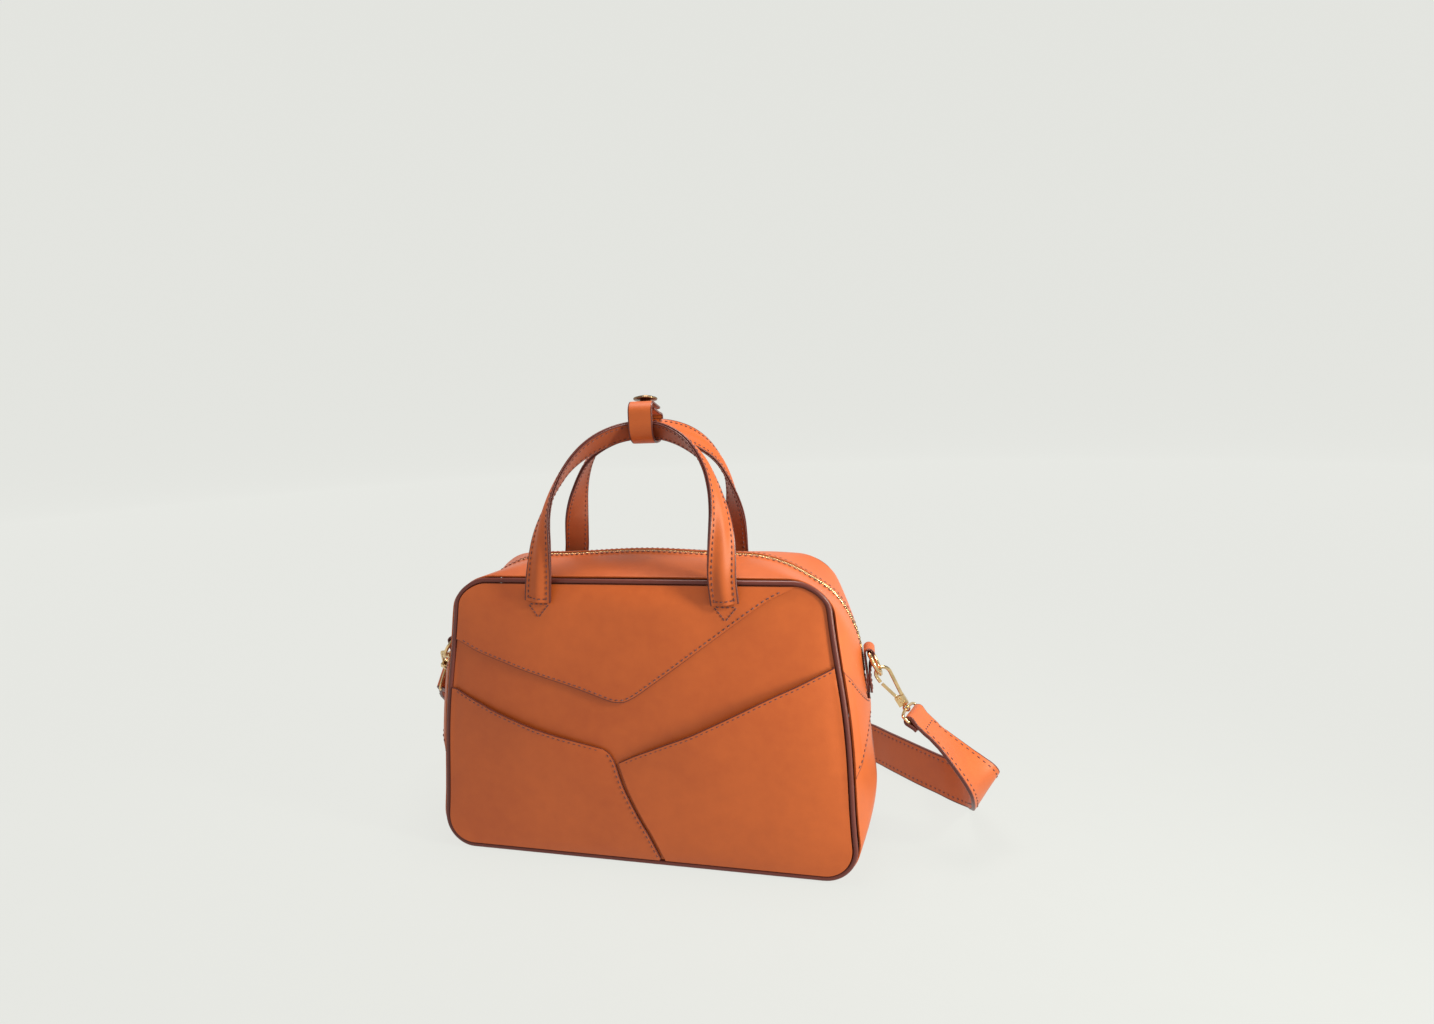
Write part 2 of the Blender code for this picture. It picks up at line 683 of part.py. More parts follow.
def make_pockets():
    def gape(u, v):
        return POCKET_GAPE * math.sin(math.pi * u) * v ** 3

    def left_gape(u, v):
        return 0.5 * gape(u, v)

    edge = edge_line(LEFT_POCKET_TOP_SHARES, 6)
    side_edge = list(reversed(edge_line(LEFT_POCKET_SIDE_SHARES, 6)))
    start = side_share_at(edge[0][1])
    bottom = [(-1, "low", 0.5)] + run(-1, "low", 0.5, 0.0, 3) + run(-1, "base", 1.0, 0.0, 3)
    left = [(-1, "low", 0.5)] + run(-1, "low", 0.5, 1.0, 3) + run(-1, "side", 0.0, start, 3)
    bottom_line = wall_line(bottom, GAP)
    bottom_line[-1] = (side_edge[0][0] - LEATHER, bottom_line[-1][1])
    side_edge[0] = bottom_line[-1]
    left_line = wall_line(left, GAP)
    edge[0] = left_line[-1]
    wall_sheet("front_left_pocket", LEATHER_TAN, stretch(bottom_line, edge, left_line, side_edge),
               OVERLAY_FACE + GAP, LEATHER + GAP, -1, left_gape)

    edge = edge_line(RIGHT_POCKET_TOP_SHARES, 6)
    near = [(x + 2 * LEATHER, z) for x, z in edge_line(LEFT_POCKET_SIDE_SHARES[2:], 6)]
    start = side_share_at(edge[-1][1])
    bottom = run(1, "base", 0.0, 1.0, 3) + run(1, "low", 0.0, 0.5, 3)
    right = [(1, "low", 0.5)] + run(1, "low", 0.5, 1.0, 3) + run(1, "side", 0.0, start, 3)
    bottom_line = wall_line(bottom, GAP)
    bottom_line.insert(0, (near[-1][0], bottom_line[0][1]))
    near_line = list(reversed(near))
    near_line[0] = bottom_line[0]
    near_line[-1] = edge[0]
    right_line = wall_line(right, GAP)
    edge[-1] = right_line[-1]
    wall_sheet("front_right_pocket", LEATHER_TAN, stretch(bottom_line, edge, near_line, right_line),
               OVERLAY_FACE, LEATHER, -1, gape)


def make_pipings():
    path = over_the_top(0.5, 2, 5, 3)[:-1] + under_the_base(0.5, 2, 5, 2)[:0:-1]
    for name, facing in (("front_piping", -1), ("back_piping", 1)):
        points = []
        for station in path:
            x, z = WALL.at(station, PIPING_RADIUS + GAP)[:2]
            points.append((x, facing * (half_depth(z) - PIPING_SET_BACK), z))
        wire(name, LEATHER_EDGE, points, PIPING_RADIUS, cyclic=True)


# Gussets

def gusset_sheet(name, look, path, reaches, inward, thickness):
    """A sheet on the skin between the walls, over a path and a list of reaches."""
    flip = reaches[0] > reaches[-1]
    count = len(path) - 1

    def place(i, j):
        station = path[count - i] if flip else path[i]
        return gusset_point(station, reaches[j], inward)

    return sheet(name, look, count, len(reaches) - 1, place, thickness)


def make_gussets():
    zip_reach = ZIP_OPENING / 2 / half_depth(MIDDLE_HEIGHT)
    spread = shares(zip_reach, PIPING_END, 4)
    top_path = over_the_top(SIDE_POINT_SHARE)
    gusset_sheet("zip_gusset_front", LEATHER_TAN, top_path, spread, 0.0, GUSSET_LEATHER)
    back_spread = [-reach for reach in reversed(spread)]
    gusset_sheet("zip_gusset_back", LEATHER_TAN, top_path, back_spread, 0.0, GUSSET_LEATHER)

    seam = SIDE_POINT_SHARE - 0.01
    base_path = list(reversed(under_the_base(seam)))
    across = shares(-PIPING_END, PIPING_END, 8)
    gusset_sheet("base_gusset", LEATHER_TAN, base_path, across, 0.0, GUSSET_LEATHER)
    inner = shares(-LINING_REACH_SHARE, LINING_REACH_SHARE, 6)
    gusset_sheet("lining_gusset", LINING_TAN, base_path, inner,
                 GUSSET_LEATHER + 2 * LAYER_GAP, LINING)


def make_side_patches():
    rows = 4
    columns = 4
    for side, side_name in ((-1, "left"), (1, "right")):
        for facing, facing_name in ((1, "front"), (-1, "back")):
            def place(i, j, side=side, facing=facing):
                across = PATCH_TIP_SHARE + (1 - PATCH_TIP_SHARE) * j / rows
                tilt = i / columns
                target = PATCH_BOTTOM_SHARE + (PATCH_TOP_SHARE - PATCH_BOTTOM_SHARE) * tilt
                share = SIDE_POINT_SHARE + (target - SIDE_POINT_SHARE) * across
                if side * facing < 0:
                    target = PATCH_TOP_SHARE + (PATCH_BOTTOM_SHARE - PATCH_TOP_SHARE) * tilt
                    share = SIDE_POINT_SHARE + (target - SIDE_POINT_SHARE) * across
                reach = facing * across * PIPING_END
                return gusset_point((side, "side", share), reach, -LAYER_GAP - LEATHER)

            sheet("_".join((side_name, facing_name, "side_patch")), LEATHER_TAN,
                  columns, rows, place, LEATHER)


# Zip

def zip_path():
    return over_the_top(ZIP_END_SHARE, 1, 8, 4)


def make_zip():
    outer_reach = TAPE_WIDTH / half_depth(MIDDLE_HEIGHT)
    inner_reach = GAP / half_depth(MIDDLE_HEIGHT)
    gusset_sheet("zip_tape_front", TAPE_BROWN, zip_path(), (inner_reach, outer_reach),
                 TAPE_TOP, TAPE_THICKNESS)
    gusset_sheet("zip_tape_back", TAPE_BROWN, zip_path(), (-outer_reach, -inner_reach),
                 TAPE_TOP, TAPE_THICKNESS)
    half = CHAIN_WIDTH / 2
    section = ((-half, 0.0), (half, 0.0), (half, CHAIN_HEIGHT * 0.7), (half * 0.6, CHAIN_HEIGHT),
               (-half * 0.6, CHAIN_HEIGHT), (-half, CHAIN_HEIGHT * 0.7))
    frames = []
    for station in zip_path():
        low = gusset_point(station, 0.0, CHAIN_BOTTOM)
        up = (gusset_point(station, 0.0, 0.0) - low).normalized()
        frames.append((low, Vector((0, 1, 0)), up))
    add_mesh("zip_chain", strip_mesh(frames, section), GOLD)


def make_slider():
    """The slider's shoe, its bridge and the pull, in a frame on the left corner's arc."""
    angle = math.radians(180 - SLIDER_REST_DEGREES)
    radial = Vector((math.cos(angle), 0.0, math.sin(angle)))
    down = Vector((-math.sin(angle), 0.0, math.cos(angle)))
    if down.z > 0:
        down.negate()
    place = frame_matrix(SLIDER_CENTRE, down, radial)
    skin = MIDDLE_TOP_RADIUS
    chain_top = skin - CHAIN_BOTTOM + CHAIN_HEIGHT
    ceiling = chain_top + SLIDER_CLEARANCE
    roof = ceiling + SLIDER_WALL
    inner = CHAIN_WIDTH / 2 + SLIDER_CLEARANCE
    outer = ZIP_OPENING / 2 - SLIDER_CLEARANCE
    half = SLIDER_LENGTH / 2
    floor = skin - TAPE_TOP + 2 * SLIDER_CLEARANCE
    slider = block("zip_slider", (-half, floor, -outer), (half, roof, outer), place, GOLD)
    channel = block("slider_channel", (-half - CUT_OVERRUN, floor - CUT_OVERRUN, -inner),
                    (half + CUT_OVERRUN, ceiling, inner), place, collection=cutters)
    combine(slider, channel, "DIFFERENCE")
    bridge_half = BRIDGE_LENGTH / 2
    width = BRIDGE_WIDTH / 2
    bridge = block("slider_bridge", (-bridge_half, roof - GAP, -width),
                   (bridge_half, roof + BRIDGE_HEIGHT, width), place, collection=cutters)
    combine(slider, bridge, "UNION")
    hole_half = BRIDGE_HOLE_LENGTH / 2
    hole_low = roof + (BRIDGE_HEIGHT - BRIDGE_HOLE_HEIGHT) / 2
    hole = block("bridge_hole", (-hole_half, hole_low, -outer),
                 (hole_half, hole_low + BRIDGE_HOLE_HEIGHT, outer), place, collection=cutters)
    combine(slider, hole, "DIFFERENCE")

    pivot = place @ Vector((0.0, hole_low + BRIDGE_HOLE_HEIGHT / 2, 0.0))
    lean = math.radians(PULL_LEAN_DEGREES)
    along = down * math.cos(lean) - radial * math.sin(lean)
    upward = radial * math.cos(lean) + down * math.sin(lean)
    pull_place = frame_matrix(pivot, along, upward)
    bar = PULL_BAR / 2
    arm = PULL_WIDTH / 2
    pull = block("zip_pull", (-bar, -bar, -arm), (PULL_EYE + PULL_PLATE, bar, arm), pull_place, GOLD)
    eye = block("pull_eye", (bar, -CUT_OVERRUN, -arm + PULL_BAR),
                (PULL_EYE, CUT_OVERRUN, arm - PULL_BAR), pull_place, collection=cutters)
    combine(pull, eye, "DIFFERENCE")
    slot = block("pull_slot", (PULL_EYE + 2 * PULL_BAR, -CUT_OVERRUN, -arm + PULL_BAR),
                 (PULL_EYE + PULL_PLATE - PULL_BAR, CUT_OVERRUN, arm - PULL_BAR),
                 pull_place, collection=cutters)
    combine(pull, slot, "DIFFERENCE")
    make_pull_tab(pull_place)
    return place, pull_place


def make_pull_tab(place):
    """A leather strip folded through the slot of the pull."""
    start = PULL_EYE + PULL_PLATE - PULL_BAR / 2
    stand = PULL_BAR / 2 + GAP
    wall = PULL_TAB_THICKNESS
    frames = []
    turn_steps = 6
    reach = PULL_TAB_LENGTH
    middle = stand + wall / 2
    spots = [(start + reach, middle), (start + reach / 2, middle), (start, middle)]
    for share in shares(0.0, 1.0, turn_steps)[1:-1]:
        angle = math.pi / 2 + math.pi * share
        spots.append((start + middle * math.cos(angle), middle * math.sin(angle)))
    spots += [(start, -middle), (start + reach / 2, -middle), (start + reach, -middle)]
    for index, (x, y) in enumerate(spots):
        before = Vector(spots[max(index - 1, 0)])
        after = Vector(spots[min(index + 1, len(spots) - 1)])
        heading = (after - before).normalized()
        up = Vector((-heading.y, heading.x, 0.0))
        narrow = PULL_BAR + GAP if start - middle <= x <= start + PULL_BAR else 0.0
        frames.append((Vector((x, y, 0.0)), Vector((0, 0, 1)) * (1 - 2 * narrow / PULL_TAB_WIDTH), up))
    half = PULL_TAB_WIDTH / 2
    section = ((-half, -wall / 2), (half, -wall / 2), (half, wall / 2), (-half, wall / 2))
    add_mesh("zip_pull_tab", strip_mesh(frames, section), LEATHER_TAN, place)


# Handles

def handle_frames(facing):
    """Frames of one whole arch; up points out of the leather's good side."""
    face = OVERLAY_FACE if facing < 0 else PANEL_FACE
    foot_depth = half_depth(HANDLE_FOOT_HEIGHT) + wall_puff(HANDLE_HALF_SPREAD, HANDLE_FOOT_HEIGHT)
    foot_depth += face + LAYER_GAP + HANDLE_STRAP
    half = []
    for (x, z, y), turn in zip(HANDLE_PATH_SHARES, HANDLE_TURN_DEGREES):
        depth = HANDLE_TOP_OFFSET + (foot_depth - HANDLE_TOP_OFFSET) * y
        half.append((x * HANDLE_HALF_SPREAD, facing * depth, z, turn))
    line = half + [(-x, y, z, turn) for x, y, z, turn in reversed(half[:-1])]
    shift = HANDLE_BACK_SHIFT if facing > 0 else 0.0
    points = [Vector((x + shift * (1 - z) + HANDLE_LEAN * z ** 1.5, y,
                      HANDLE_FOOT_HEIGHT + z * HANDLE_RISE)) for x, y, z, turn in line]
    frames = []
    for index, point in enumerate(points):
        before = points[max(index - 1, 0)]
        after = points[min(index + 1, len(points) - 1)]
        heading = (after - before).normalized()
        outward = Vector((heading.z, 0.0, -heading.x)).normalized()
        front = heading.cross(outward).normalized()
        if front.y * facing < 0:
            front.negate()
        outward = (outward - heading * outward.dot(heading)).normalized()
        angle = math.radians(line[index][3])
        up = (front * math.cos(angle) + outward * math.sin(angle)).normalized()
        frames.append((point, heading.cross(up).normalized(), up))
    return frames


def layer(breaks, upper, lower):
    """A closed section from the heights of its two faces at shared breaks."""
    top = list(zip(breaks, upper))
    bottom = list(zip(breaks, lower))
    return tuple(top + bottom[::-1])


def make_handles():
    half = HANDLE_WIDTH / 2
    core = HANDLE_CORE_HALF
    gap = GAP / 2
    edge = HANDLE_EDGE
    crown = HANDLE_CROWN
    hollow = crown - HANDLE_STRAP
    breaks = (-half, -core, -core / 2, core / 2, core, half)
    outer = layer(breaks, (edge, edge + gap, crown, crown, edge + gap, edge),
                  (gap, gap, hollow, hollow, gap, gap))
    lining = layer(breaks, (-gap,) * len(breaks), (-HANDLE_STRAP,) * len(breaks))
    core_top = hollow - GAP
    core_section = ((-core / 2 + GAP, core_top), (core / 2 - GAP, core_top), (core / 2, gap),
                    (-core / 2, gap))
    for name, facing in (("front_handle", -1), ("back_handle", 1)):
        frames = handle_frames(facing)
        add_mesh(name, strip_mesh(frames, outer), LEATHER_TAN)
        add_mesh(name + "_lining", strip_mesh(frames, lining), LEATHER_TAN)
        add_mesh(name + "_core", strip_mesh(frames[1:-1], core_section), FELT)


# Keeper

def handle_low_point():
    """Lowest corner of the handles where the keeper holds them."""
    frames = handle_frames(-1)
    middle = len(frames) // 2
    half = HANDLE_WIDTH / 2
    return min((point + across * a - up * HANDLE_STRAP).z
               for point, across, up in frames[middle - 1:middle + 2] for a in (-half, half))


def make_keeper():
    wall = KEEPER_LEATHER / 2
    low = handle_low_point() - KEEPER_CLEARANCE - wall
    rise = KEEPER_TOP - wall - low
    half = KEEPER_HALF_DEPTH - wall
    slope = math.radians(KEEPER_SLOPE_DEGREES)
    along = Vector((0.0, math.cos(slope), -math.sin(slope)))
    normal = Vector((0.0, math.sin(slope), math.cos(slope)))

    def spot(shares_pair):
        return Vector((KEEPER_CENTRE, shares_pair[0] * half, low + shares_pair[1] * rise))

    fold = spot(KEEPER_FRONT_SHARES[0])
    drop = KEEPER_LEATHER + SNAP_SOCKET_HEIGHT + 2 * GAP
    under = fold - normal * drop
    line = [fold] + [spot(pair) for pair in KEEPER_FRONT_SHARES + KEEPER_BACK_SHARES]
    line[1] = fold - along * KEEPER_LEATHER
    start = SNAP_ALONG + KEEPER_RETURN / 2
    line += [under + along * (start - KEEPER_RETURN * share) for share in (0.0, 0.3, 0.6, 1.0)]
    wide = KEEPER_WIDTH / 2
    section = ((-wide, -wall), (wide, -wall), (wide, wall), (-wide, wall))
    band = add_mesh("keeper_band", strip_mesh(flat_frames(line), section), LEATHER_TAN)
    flap_line = [fold + along * (GAP + (KEEPER_FLAP_LENGTH - GAP) * share)
                 for share in shares(0.0, 1.0, 4)]
    flap = add_mesh("keeper_flap", strip_mesh(flat_frames(flap_line), section), LEATHER_TAN)

    up = frame_matrix(fold + along * SNAP_ALONG, normal, along)

    def level(height):
        return up @ Matrix.Translation((height, 0.0, 0.0))

    cap_start = wall + SNAP_CAP_STAND
    cap = drum("keeper_snap_cap", SNAP_CAP_RADIUS, SNAP_CAP_HEIGHT, level(cap_start),
               SNAP_SIDES, BRONZE)
    rim = cap.modifiers.new("rim", "BEVEL")
    rim.width = SNAP_CAP_HEIGHT / 3
    rim.segments = 2
    post_length = cap_start + GAP + wall + GAP / 2
    post = drum("cap_post", SNAP_POST_RADIUS, post_length, level(-wall - GAP / 2), SNAP_SIDES,
                collection=cutters)
    combine(cap, post, "UNION")
    hole = drum("flap_hole", SNAP_POST_RADIUS + GAP, KEEPER_LEATHER + 2 * CUT_OVERRUN,
                level(-wall - CUT_OVERRUN), SNAP_SIDES, collection=cutters)
    combine(flap, hole, "DIFFERENCE")
    socket_low = -wall - GAP - SNAP_SOCKET_HEIGHT
    socket = drum("keeper_snap_socket", SNAP_SOCKET_RADIUS, SNAP_SOCKET_HEIGHT,
                  level(socket_low), SNAP_SIDES, BRONZE)
    cavity = drum("socket_cavity", SNAP_STUD_RADIUS + 3 * GAP, SNAP_SOCKET_HEIGHT + CUT_OVERRUN,
                  level(socket_low - CUT_OVERRUN / 2), SNAP_SIDES, collection=cutters)
    combine(socket, cavity, "DIFFERENCE")
    band_top = wall - drop
    band_low = -wall - drop
    stud = drum("keeper_snap_stud", SNAP_STUD_RADIUS, SNAP_SOCKET_HEIGHT - 3 * GAP,
                level(band_top + GAP), SNAP_SIDES, BRONZE)
    stem = drum("stud_stem", SNAP_STUD_NECK, KEEPER_LEATHER + 4 * GAP, level(band_low - 2 * GAP),
                SNAP_SIDES, collection=cutters)
    combine(stud, stem, "UNION")
    base = drum("stud_base", SNAP_BASE_RADIUS, SNAP_BASE_HEIGHT,
                level(band_low - GAP - SNAP_BASE_HEIGHT), SNAP_SIDES, collection=cutters)
    combine(stud, base, "UNION")
    band_hole = drum("band_hole", SNAP_STUD_NECK + GAP, KEEPER_LEATHER + CUT_OVERRUN,
                     level(band_low - CUT_OVERRUN / 2), SNAP_SIDES, collection=cutters)
    combine(band, band_hole, "DIFFERENCE")
    hinge = add_empty("keeper_fold", Matrix.Translation(fold + normal * wall))
    hang_on(hinge, (flap, cap, socket))


def flat_frames(line):
    """Frames of a band that bends in one plane: across is X, up points out of the loop."""
    frames = []
    for index, point in enumerate(line):
        before = line[max(index - 1, 0)]
        after = line[min(index + 1, len(line) - 1)]
        heading = (after - before).normalized()
        across = Vector((1, 0, 0))
        frames.append((point, across, heading.cross(across).normalized()))
    return frames


# Tabs and rings at the two ends of the zip

def side_skin(z):
    """Half width of the middle outline at a height on its upper half."""
    bottom = MIDDLE.point("side", 1.0)
    if z <= bottom[1]:
        start = MIDDLE.point("side", 0.0)
        share = (z - start[1]) / (bottom[1] - start[1])
        return start[0] + (bottom[0] - start[0]) * share
    rise = z - MIDDLE.high[1]
    return MIDDLE.high[0] + math.sqrt(MIDDLE_TOP_RADIUS ** 2 - rise ** 2)


def bar_spot():
    """Middle of the bar that the tab folds round, on the right side."""
    x = side_skin(TAB_BAR_HEIGHT) + TAB_STAND + TAB_LEATHER + TAB_FOLD_RADIUS
    return Vector((x, 0.0, TAB_BAR_HEIGHT))


def make_tab(side, side_name):
    bar = bar_spot()
    middle = TAB_LEATHER / 2
    loop = TAB_FOLD_RADIUS + middle
    inner = []
    heights = shares(TAB_BOTTOM, bar.z, 5)
    for z in heights:
        inner.append(Vector((side_skin(z) + TAB_STAND + middle, z)))
    turn = [Vector((bar.x - loop * math.cos(math.pi * share), bar.z + loop * math.sin(math.pi * share)))
            for share in shares(0.0, 1.0, 6)[1:-1]]
    outer = []
    for index, z in enumerate(reversed(heights)):
        level = index / (len(heights) - 1)
        squeeze = max(0.0, 1 - level / TAB_CLOSING_SHARE)
        close = TAB_STAND + middle + TAB_LEATHER + GAP
        wide = bar.x + loop - side_skin(bar.z)
        outer.append(Vector((side_skin(z) + close + (wide - close) * squeeze, z)))
    spots = inner + turn + outer
    half = TAB_WIDTH / 2
    frames = []
    lowest = TAB_BOTTOM
    taper = TAB_WIDTH * TAB_TAPER_SHARE
    for index, spot in enumerate(spots):
        before = spots[max(index - 1, 0)]
        after = spots[min(index + 1, len(spots) - 1)]
        heading = (after - before).normalized()
        up = Vector((heading.y, 0.0, -heading.x))
        narrow = min(1.0, TAB_TIP_SHARE + (1 - TAB_TIP_SHARE) * (spot.y - lowest) / taper)
        point = Vector((spot.x * side, 0.0, spot.y))
        frames.append((point, Vector((0, 1, 0)) * narrow, Vector((up.x * side, 0.0, up.z))))
    section = ((-half, -middle), (half, -middle), (half, middle), (-half, middle))
    add_mesh(side_name + "_tab", strip_mesh(frames, section), LEATHER_TAN)


def ring_line(bar_half, half_width, reach, corner, fullness, count=12):
    """A straight bar along Y at X = 0 and an arch out along X, squarer with less fullness."""
    points = [(0.0, bar_half * share, 0.0) for share in (-1.0, 0.0, 1.0)]
    arch = reach - corner
    for share in shares(0.0, 1.0, count):
        angle = math.pi / 2 * (1 - 2 * share)
        x = corner + arch * max(0.0, math.cos(angle)) ** fullness
        points.append((x, half_width * math.sin(angle), 0.0))
    return points


def side_axes(side, degrees):
    """Direction that points down and outward at an angle from the plumb line."""
    angle = math.radians(degrees)
    return Vector((side * math.sin(angle), 0.0, -math.cos(angle)))


def make_side_ring(side, side_name, degrees):
    bar = bar_spot()
    origin = Vector((bar.x * side, 0.0, bar.z))
    hang = side_axes(side, degrees)
    place = frame_matrix(origin, hang, (0, 1, 0))
    corner = RING_LENGTH - RING_HALF_WIDTH
    line = ring_line(TAB_WIDTH / 2 + 2 * GAP, RING_HALF_WIDTH, RING_LENGTH, corner,
                     RING_FULLNESS)
    wire(side_name + "_d_ring", GOLD, line, RING_RADIUS, cyclic=True, place=place)
    return origin + hang * RING_LENGTH


# Hooks

def hook_frame(side, axis_shares, apex):
    """Frame of a hook whose jaw holds a ring at apex: X runs to the jaw, Y away from the bag."""
    axis = Vector(axis_shares).normalized()
    normal = (Vector((0, 1, 0)) - axis * axis.y).normalized()
    away = normal.cross(axis)
    if away.x * side < 0:
        away.negate()
    frame = frame_matrix((0, 0, 0), axis, away)
    slant = math.sqrt(1 - axis.y ** 2)
    seat = max(0.0, HOOK_JAW_RADIUS - (HOOK_WIRE + RING_RADIUS + 2 * GAP) / slant)
    turn = math.radians(45)
    held = Vector((HOOK_JAW_CENTRE + seat * math.cos(turn),
                   -HOOK_JAW_SHIFT - seat * math.sin(turn), 0.0))
    frame.translation = apex - frame.to_3x3() @ held
    return frame


EYE_CENTRE = STRAP_RING_REACH + SWIVEL_EYE_RADIUS - SWIVEL_WIRE - STRAP_RING_RADIUS - GAP
BLOCK_START = EYE_CENTRE + SWIVEL_EYE_RADIUS + SWIVEL_WIRE + GAP
BLOCK_END = BLOCK_START + BLOCK_LENGTH
RIVET_ALONG = BLOCK_START + RIVET_FROM_BLOCK
SLOT_START = RIVET_ALONG - GATE_ROOT_RADIUS - SHANK_HEAD - 2 * GAP


def make_hook(side_name, place):
    name = side_name + "_hook"
    centre = Vector((HOOK_JAW_CENTRE, -HOOK_JAW_SHIFT, 0.0))
    points = [Vector((BLOCK_END - CUT_OVERRUN, SPINE_ROOT_SHIFT, 0.0)),
              Vector((BLOCK_END + CUT_OVERRUN, SPINE_ROOT_SHIFT + GAP, 0.0))]
    for share in shares(0.0, 1.0, 10):
        angle = math.pi / 2 - math.pi * share
        points.append(centre + Vector((math.cos(angle), math.sin(angle), 0.0)) * HOOK_JAW_RADIUS)
    tip = centre + Vector((-HOOK_TIP_BACK, GAP - HOOK_JAW_RADIUS, 0.0))
    points.append(tip)
    hook = wire(name, GOLD, points, HOOK_WIRE, place=place)
    rivet = Vector((RIVET_ALONG, -RIVET_SHIFT, 0.0))

    body = block(name + "_body", (BLOCK_START, -BLOCK_HALF_HEIGHT, -BLOCK_HALF_THICKNESS),
                 (BLOCK_END, BLOCK_HALF_HEIGHT, BLOCK_HALF_THICKNESS), place, collection=cutters)
    combine(hook, body, "UNION")
    slot = block(name + "_slot", (SLOT_START, -BLOCK_HALF_HEIGHT - CUT_OVERRUN, -BLOCK_SLOT_HALF),
                 (BLOCK_END + CUT_OVERRUN / 2, SHANK_HEAD_RADIUS + GAP, BLOCK_SLOT_HALF),
                 place, collection=cutters)
    combine(hook, slot, "DIFFERENCE")
    cross = place @ Matrix.Translation(rivet) @ Matrix.Rotation(-math.pi / 2, 4, "Y")
    through = 2 * BLOCK_HALF_THICKNESS + 2 * CUT_OVERRUN
    bore = drum(name + "_bore", RIVET_RADIUS + RIVET_CLEARANCE, through,
                cross @ Matrix.Translation((-through / 2, 0, 0)), 12, collection=cutters)
    combine(hook, bore, "DIFFERENCE")
    shank_bore = drum(name + "_shank_bore", SHANK_RADIUS + SHANK_CLEARANCE,
                      SLOT_START - BLOCK_START + CUT_OVERRUN,
                      place @ Matrix.Translation((BLOCK_START - CUT_OVERRUN / 2, 0, 0)), 12,
                      collection=cutters)
    combine(hook, shank_bore, "DIFFERENCE")

    half = BLOCK_HALF_THICKNESS
    pin_length = 2 * (half + GAP) + RIVET_HEAD
    pin = drum(side_name + "_hook_rivet", RIVET_RADIUS, pin_length,
               cross @ Matrix.Translation((-pin_length / 2, 0, 0)), 12, GOLD)
    for index, start in enumerate((-half - GAP - RIVET_HEAD, half + GAP)):
        cap = drum(name + "_rivet_head_%d" % index, RIVET_HEAD_RADIUS, RIVET_HEAD,
                   cross @ Matrix.Translation((start, 0, 0)), 12, collection=cutters)
        combine(pin, cap, "UNION")

    reach = tip - rivet
    length = reach.length - HOOK_WIRE - GAP
    aim = place @ frame_matrix(rivet, reach, (0, 0, 1))
    thick = GATE_HALF_THICKNESS
    gate = block(side_name + "_hook_gate", (0.0, -thick, -GATE_HALF_HEIGHT),
                 (length, thick, GATE_HALF_HEIGHT), aim, GOLD)
    root = drum(name + "_gate_root", GATE_ROOT_RADIUS, 2 * thick,
                cross @ Matrix.Translation((-thick, 0, 0)), 12, collection=cutters)
    combine(gate, root, "UNION")
    combine(gate, bore, "DIFFERENCE")


def make_swivel(side_name, place, across):
    """The eye that carries the strap's ring; its shank turns in the end of the block."""
    axis = place.to_3x3() @ Vector((1, 0, 0))
    across = (across - axis * across.dot(axis)).normalized()
    frame = frame_matrix(place.translation, axis, across)
    name = side_name + "_hook_swivel"
    line = []
    for share in shares(0.0, 1.0, 12)[:-1]:
        angle = 2 * math.pi * share
        line.append((EYE_CENTRE + SWIVEL_EYE_RADIUS * math.cos(angle), 0.0,
                     SWIVEL_EYE_RADIUS * math.sin(angle)))
    eye = wire(name, GOLD, line, SWIVEL_WIRE, cyclic=True, place=frame)
    shank_start = EYE_CENTRE + SWIVEL_EYE_RADIUS + SWIVEL_WIRE / 3
    shank = drum(name + "_shank", SHANK_RADIUS, SLOT_START + GAP + SHANK_HEAD / 2 - shank_start,
                 frame @ Matrix.Translation((shank_start, 0, 0)), 12, collection=cutters)
    combine(eye, shank, "UNION")
    head = drum(name + "_head", SHANK_HEAD_RADIUS, SHANK_HEAD,
                frame @ Matrix.Translation((SLOT_START + GAP, 0, 0)), 12, collection=cutters)
    combine(eye, head, "UNION")
    return frame


def make_strap_ring(side_name, held, ring_axis, across):
    """The ring hangs in the swivel's eye at its own angle, towards the strap."""
    across = (across - ring_axis * across.dot(ring_axis)).normalized()
    origin = held - ring_axis * STRAP_RING_REACH
    bar_half = STRAP_WIDTH / 2 + GAP
    line = ring_line(bar_half, bar_half + STRAP_RING_RADIUS, STRAP_RING_REACH,
                     STRAP_RING_RADIUS, STRAP_RING_FULLNESS)
    wire(side_name + "_strap_ring", GOLD, line, STRAP_RING_RADIUS, cyclic=True,
         place=frame_matrix(origin, ring_axis, across))
    return origin, ring_axis, across


# Shoulder strap

def smooth_route(route):
    """Points of a smooth curve through the route, a step apart."""
    result = []
    for index in range(len(route) - 1):
        window = [route[max(index - 1, 0)], route[index], route[index + 1],
                  route[min(index + 2, len(route) - 1)]]
        steps = max(1, round((route[index + 1][0] - route[index][0]).length / STRAP_STEP))
        for step in range(steps):
            t = step / steps
            result.append(tuple(spline(window, part, t) for part in range(2)))
    result.append(route[-1])
    return result


def spline(window, part, t):
    a, b, c, d = (row[part] for row in window)
    return 0.5 * (2 * b + (c - a) * t + (2 * a - 5 * b + 4 * c - d) * t * t
                  + (3 * b - a - 3 * c + d) * t ** 3)


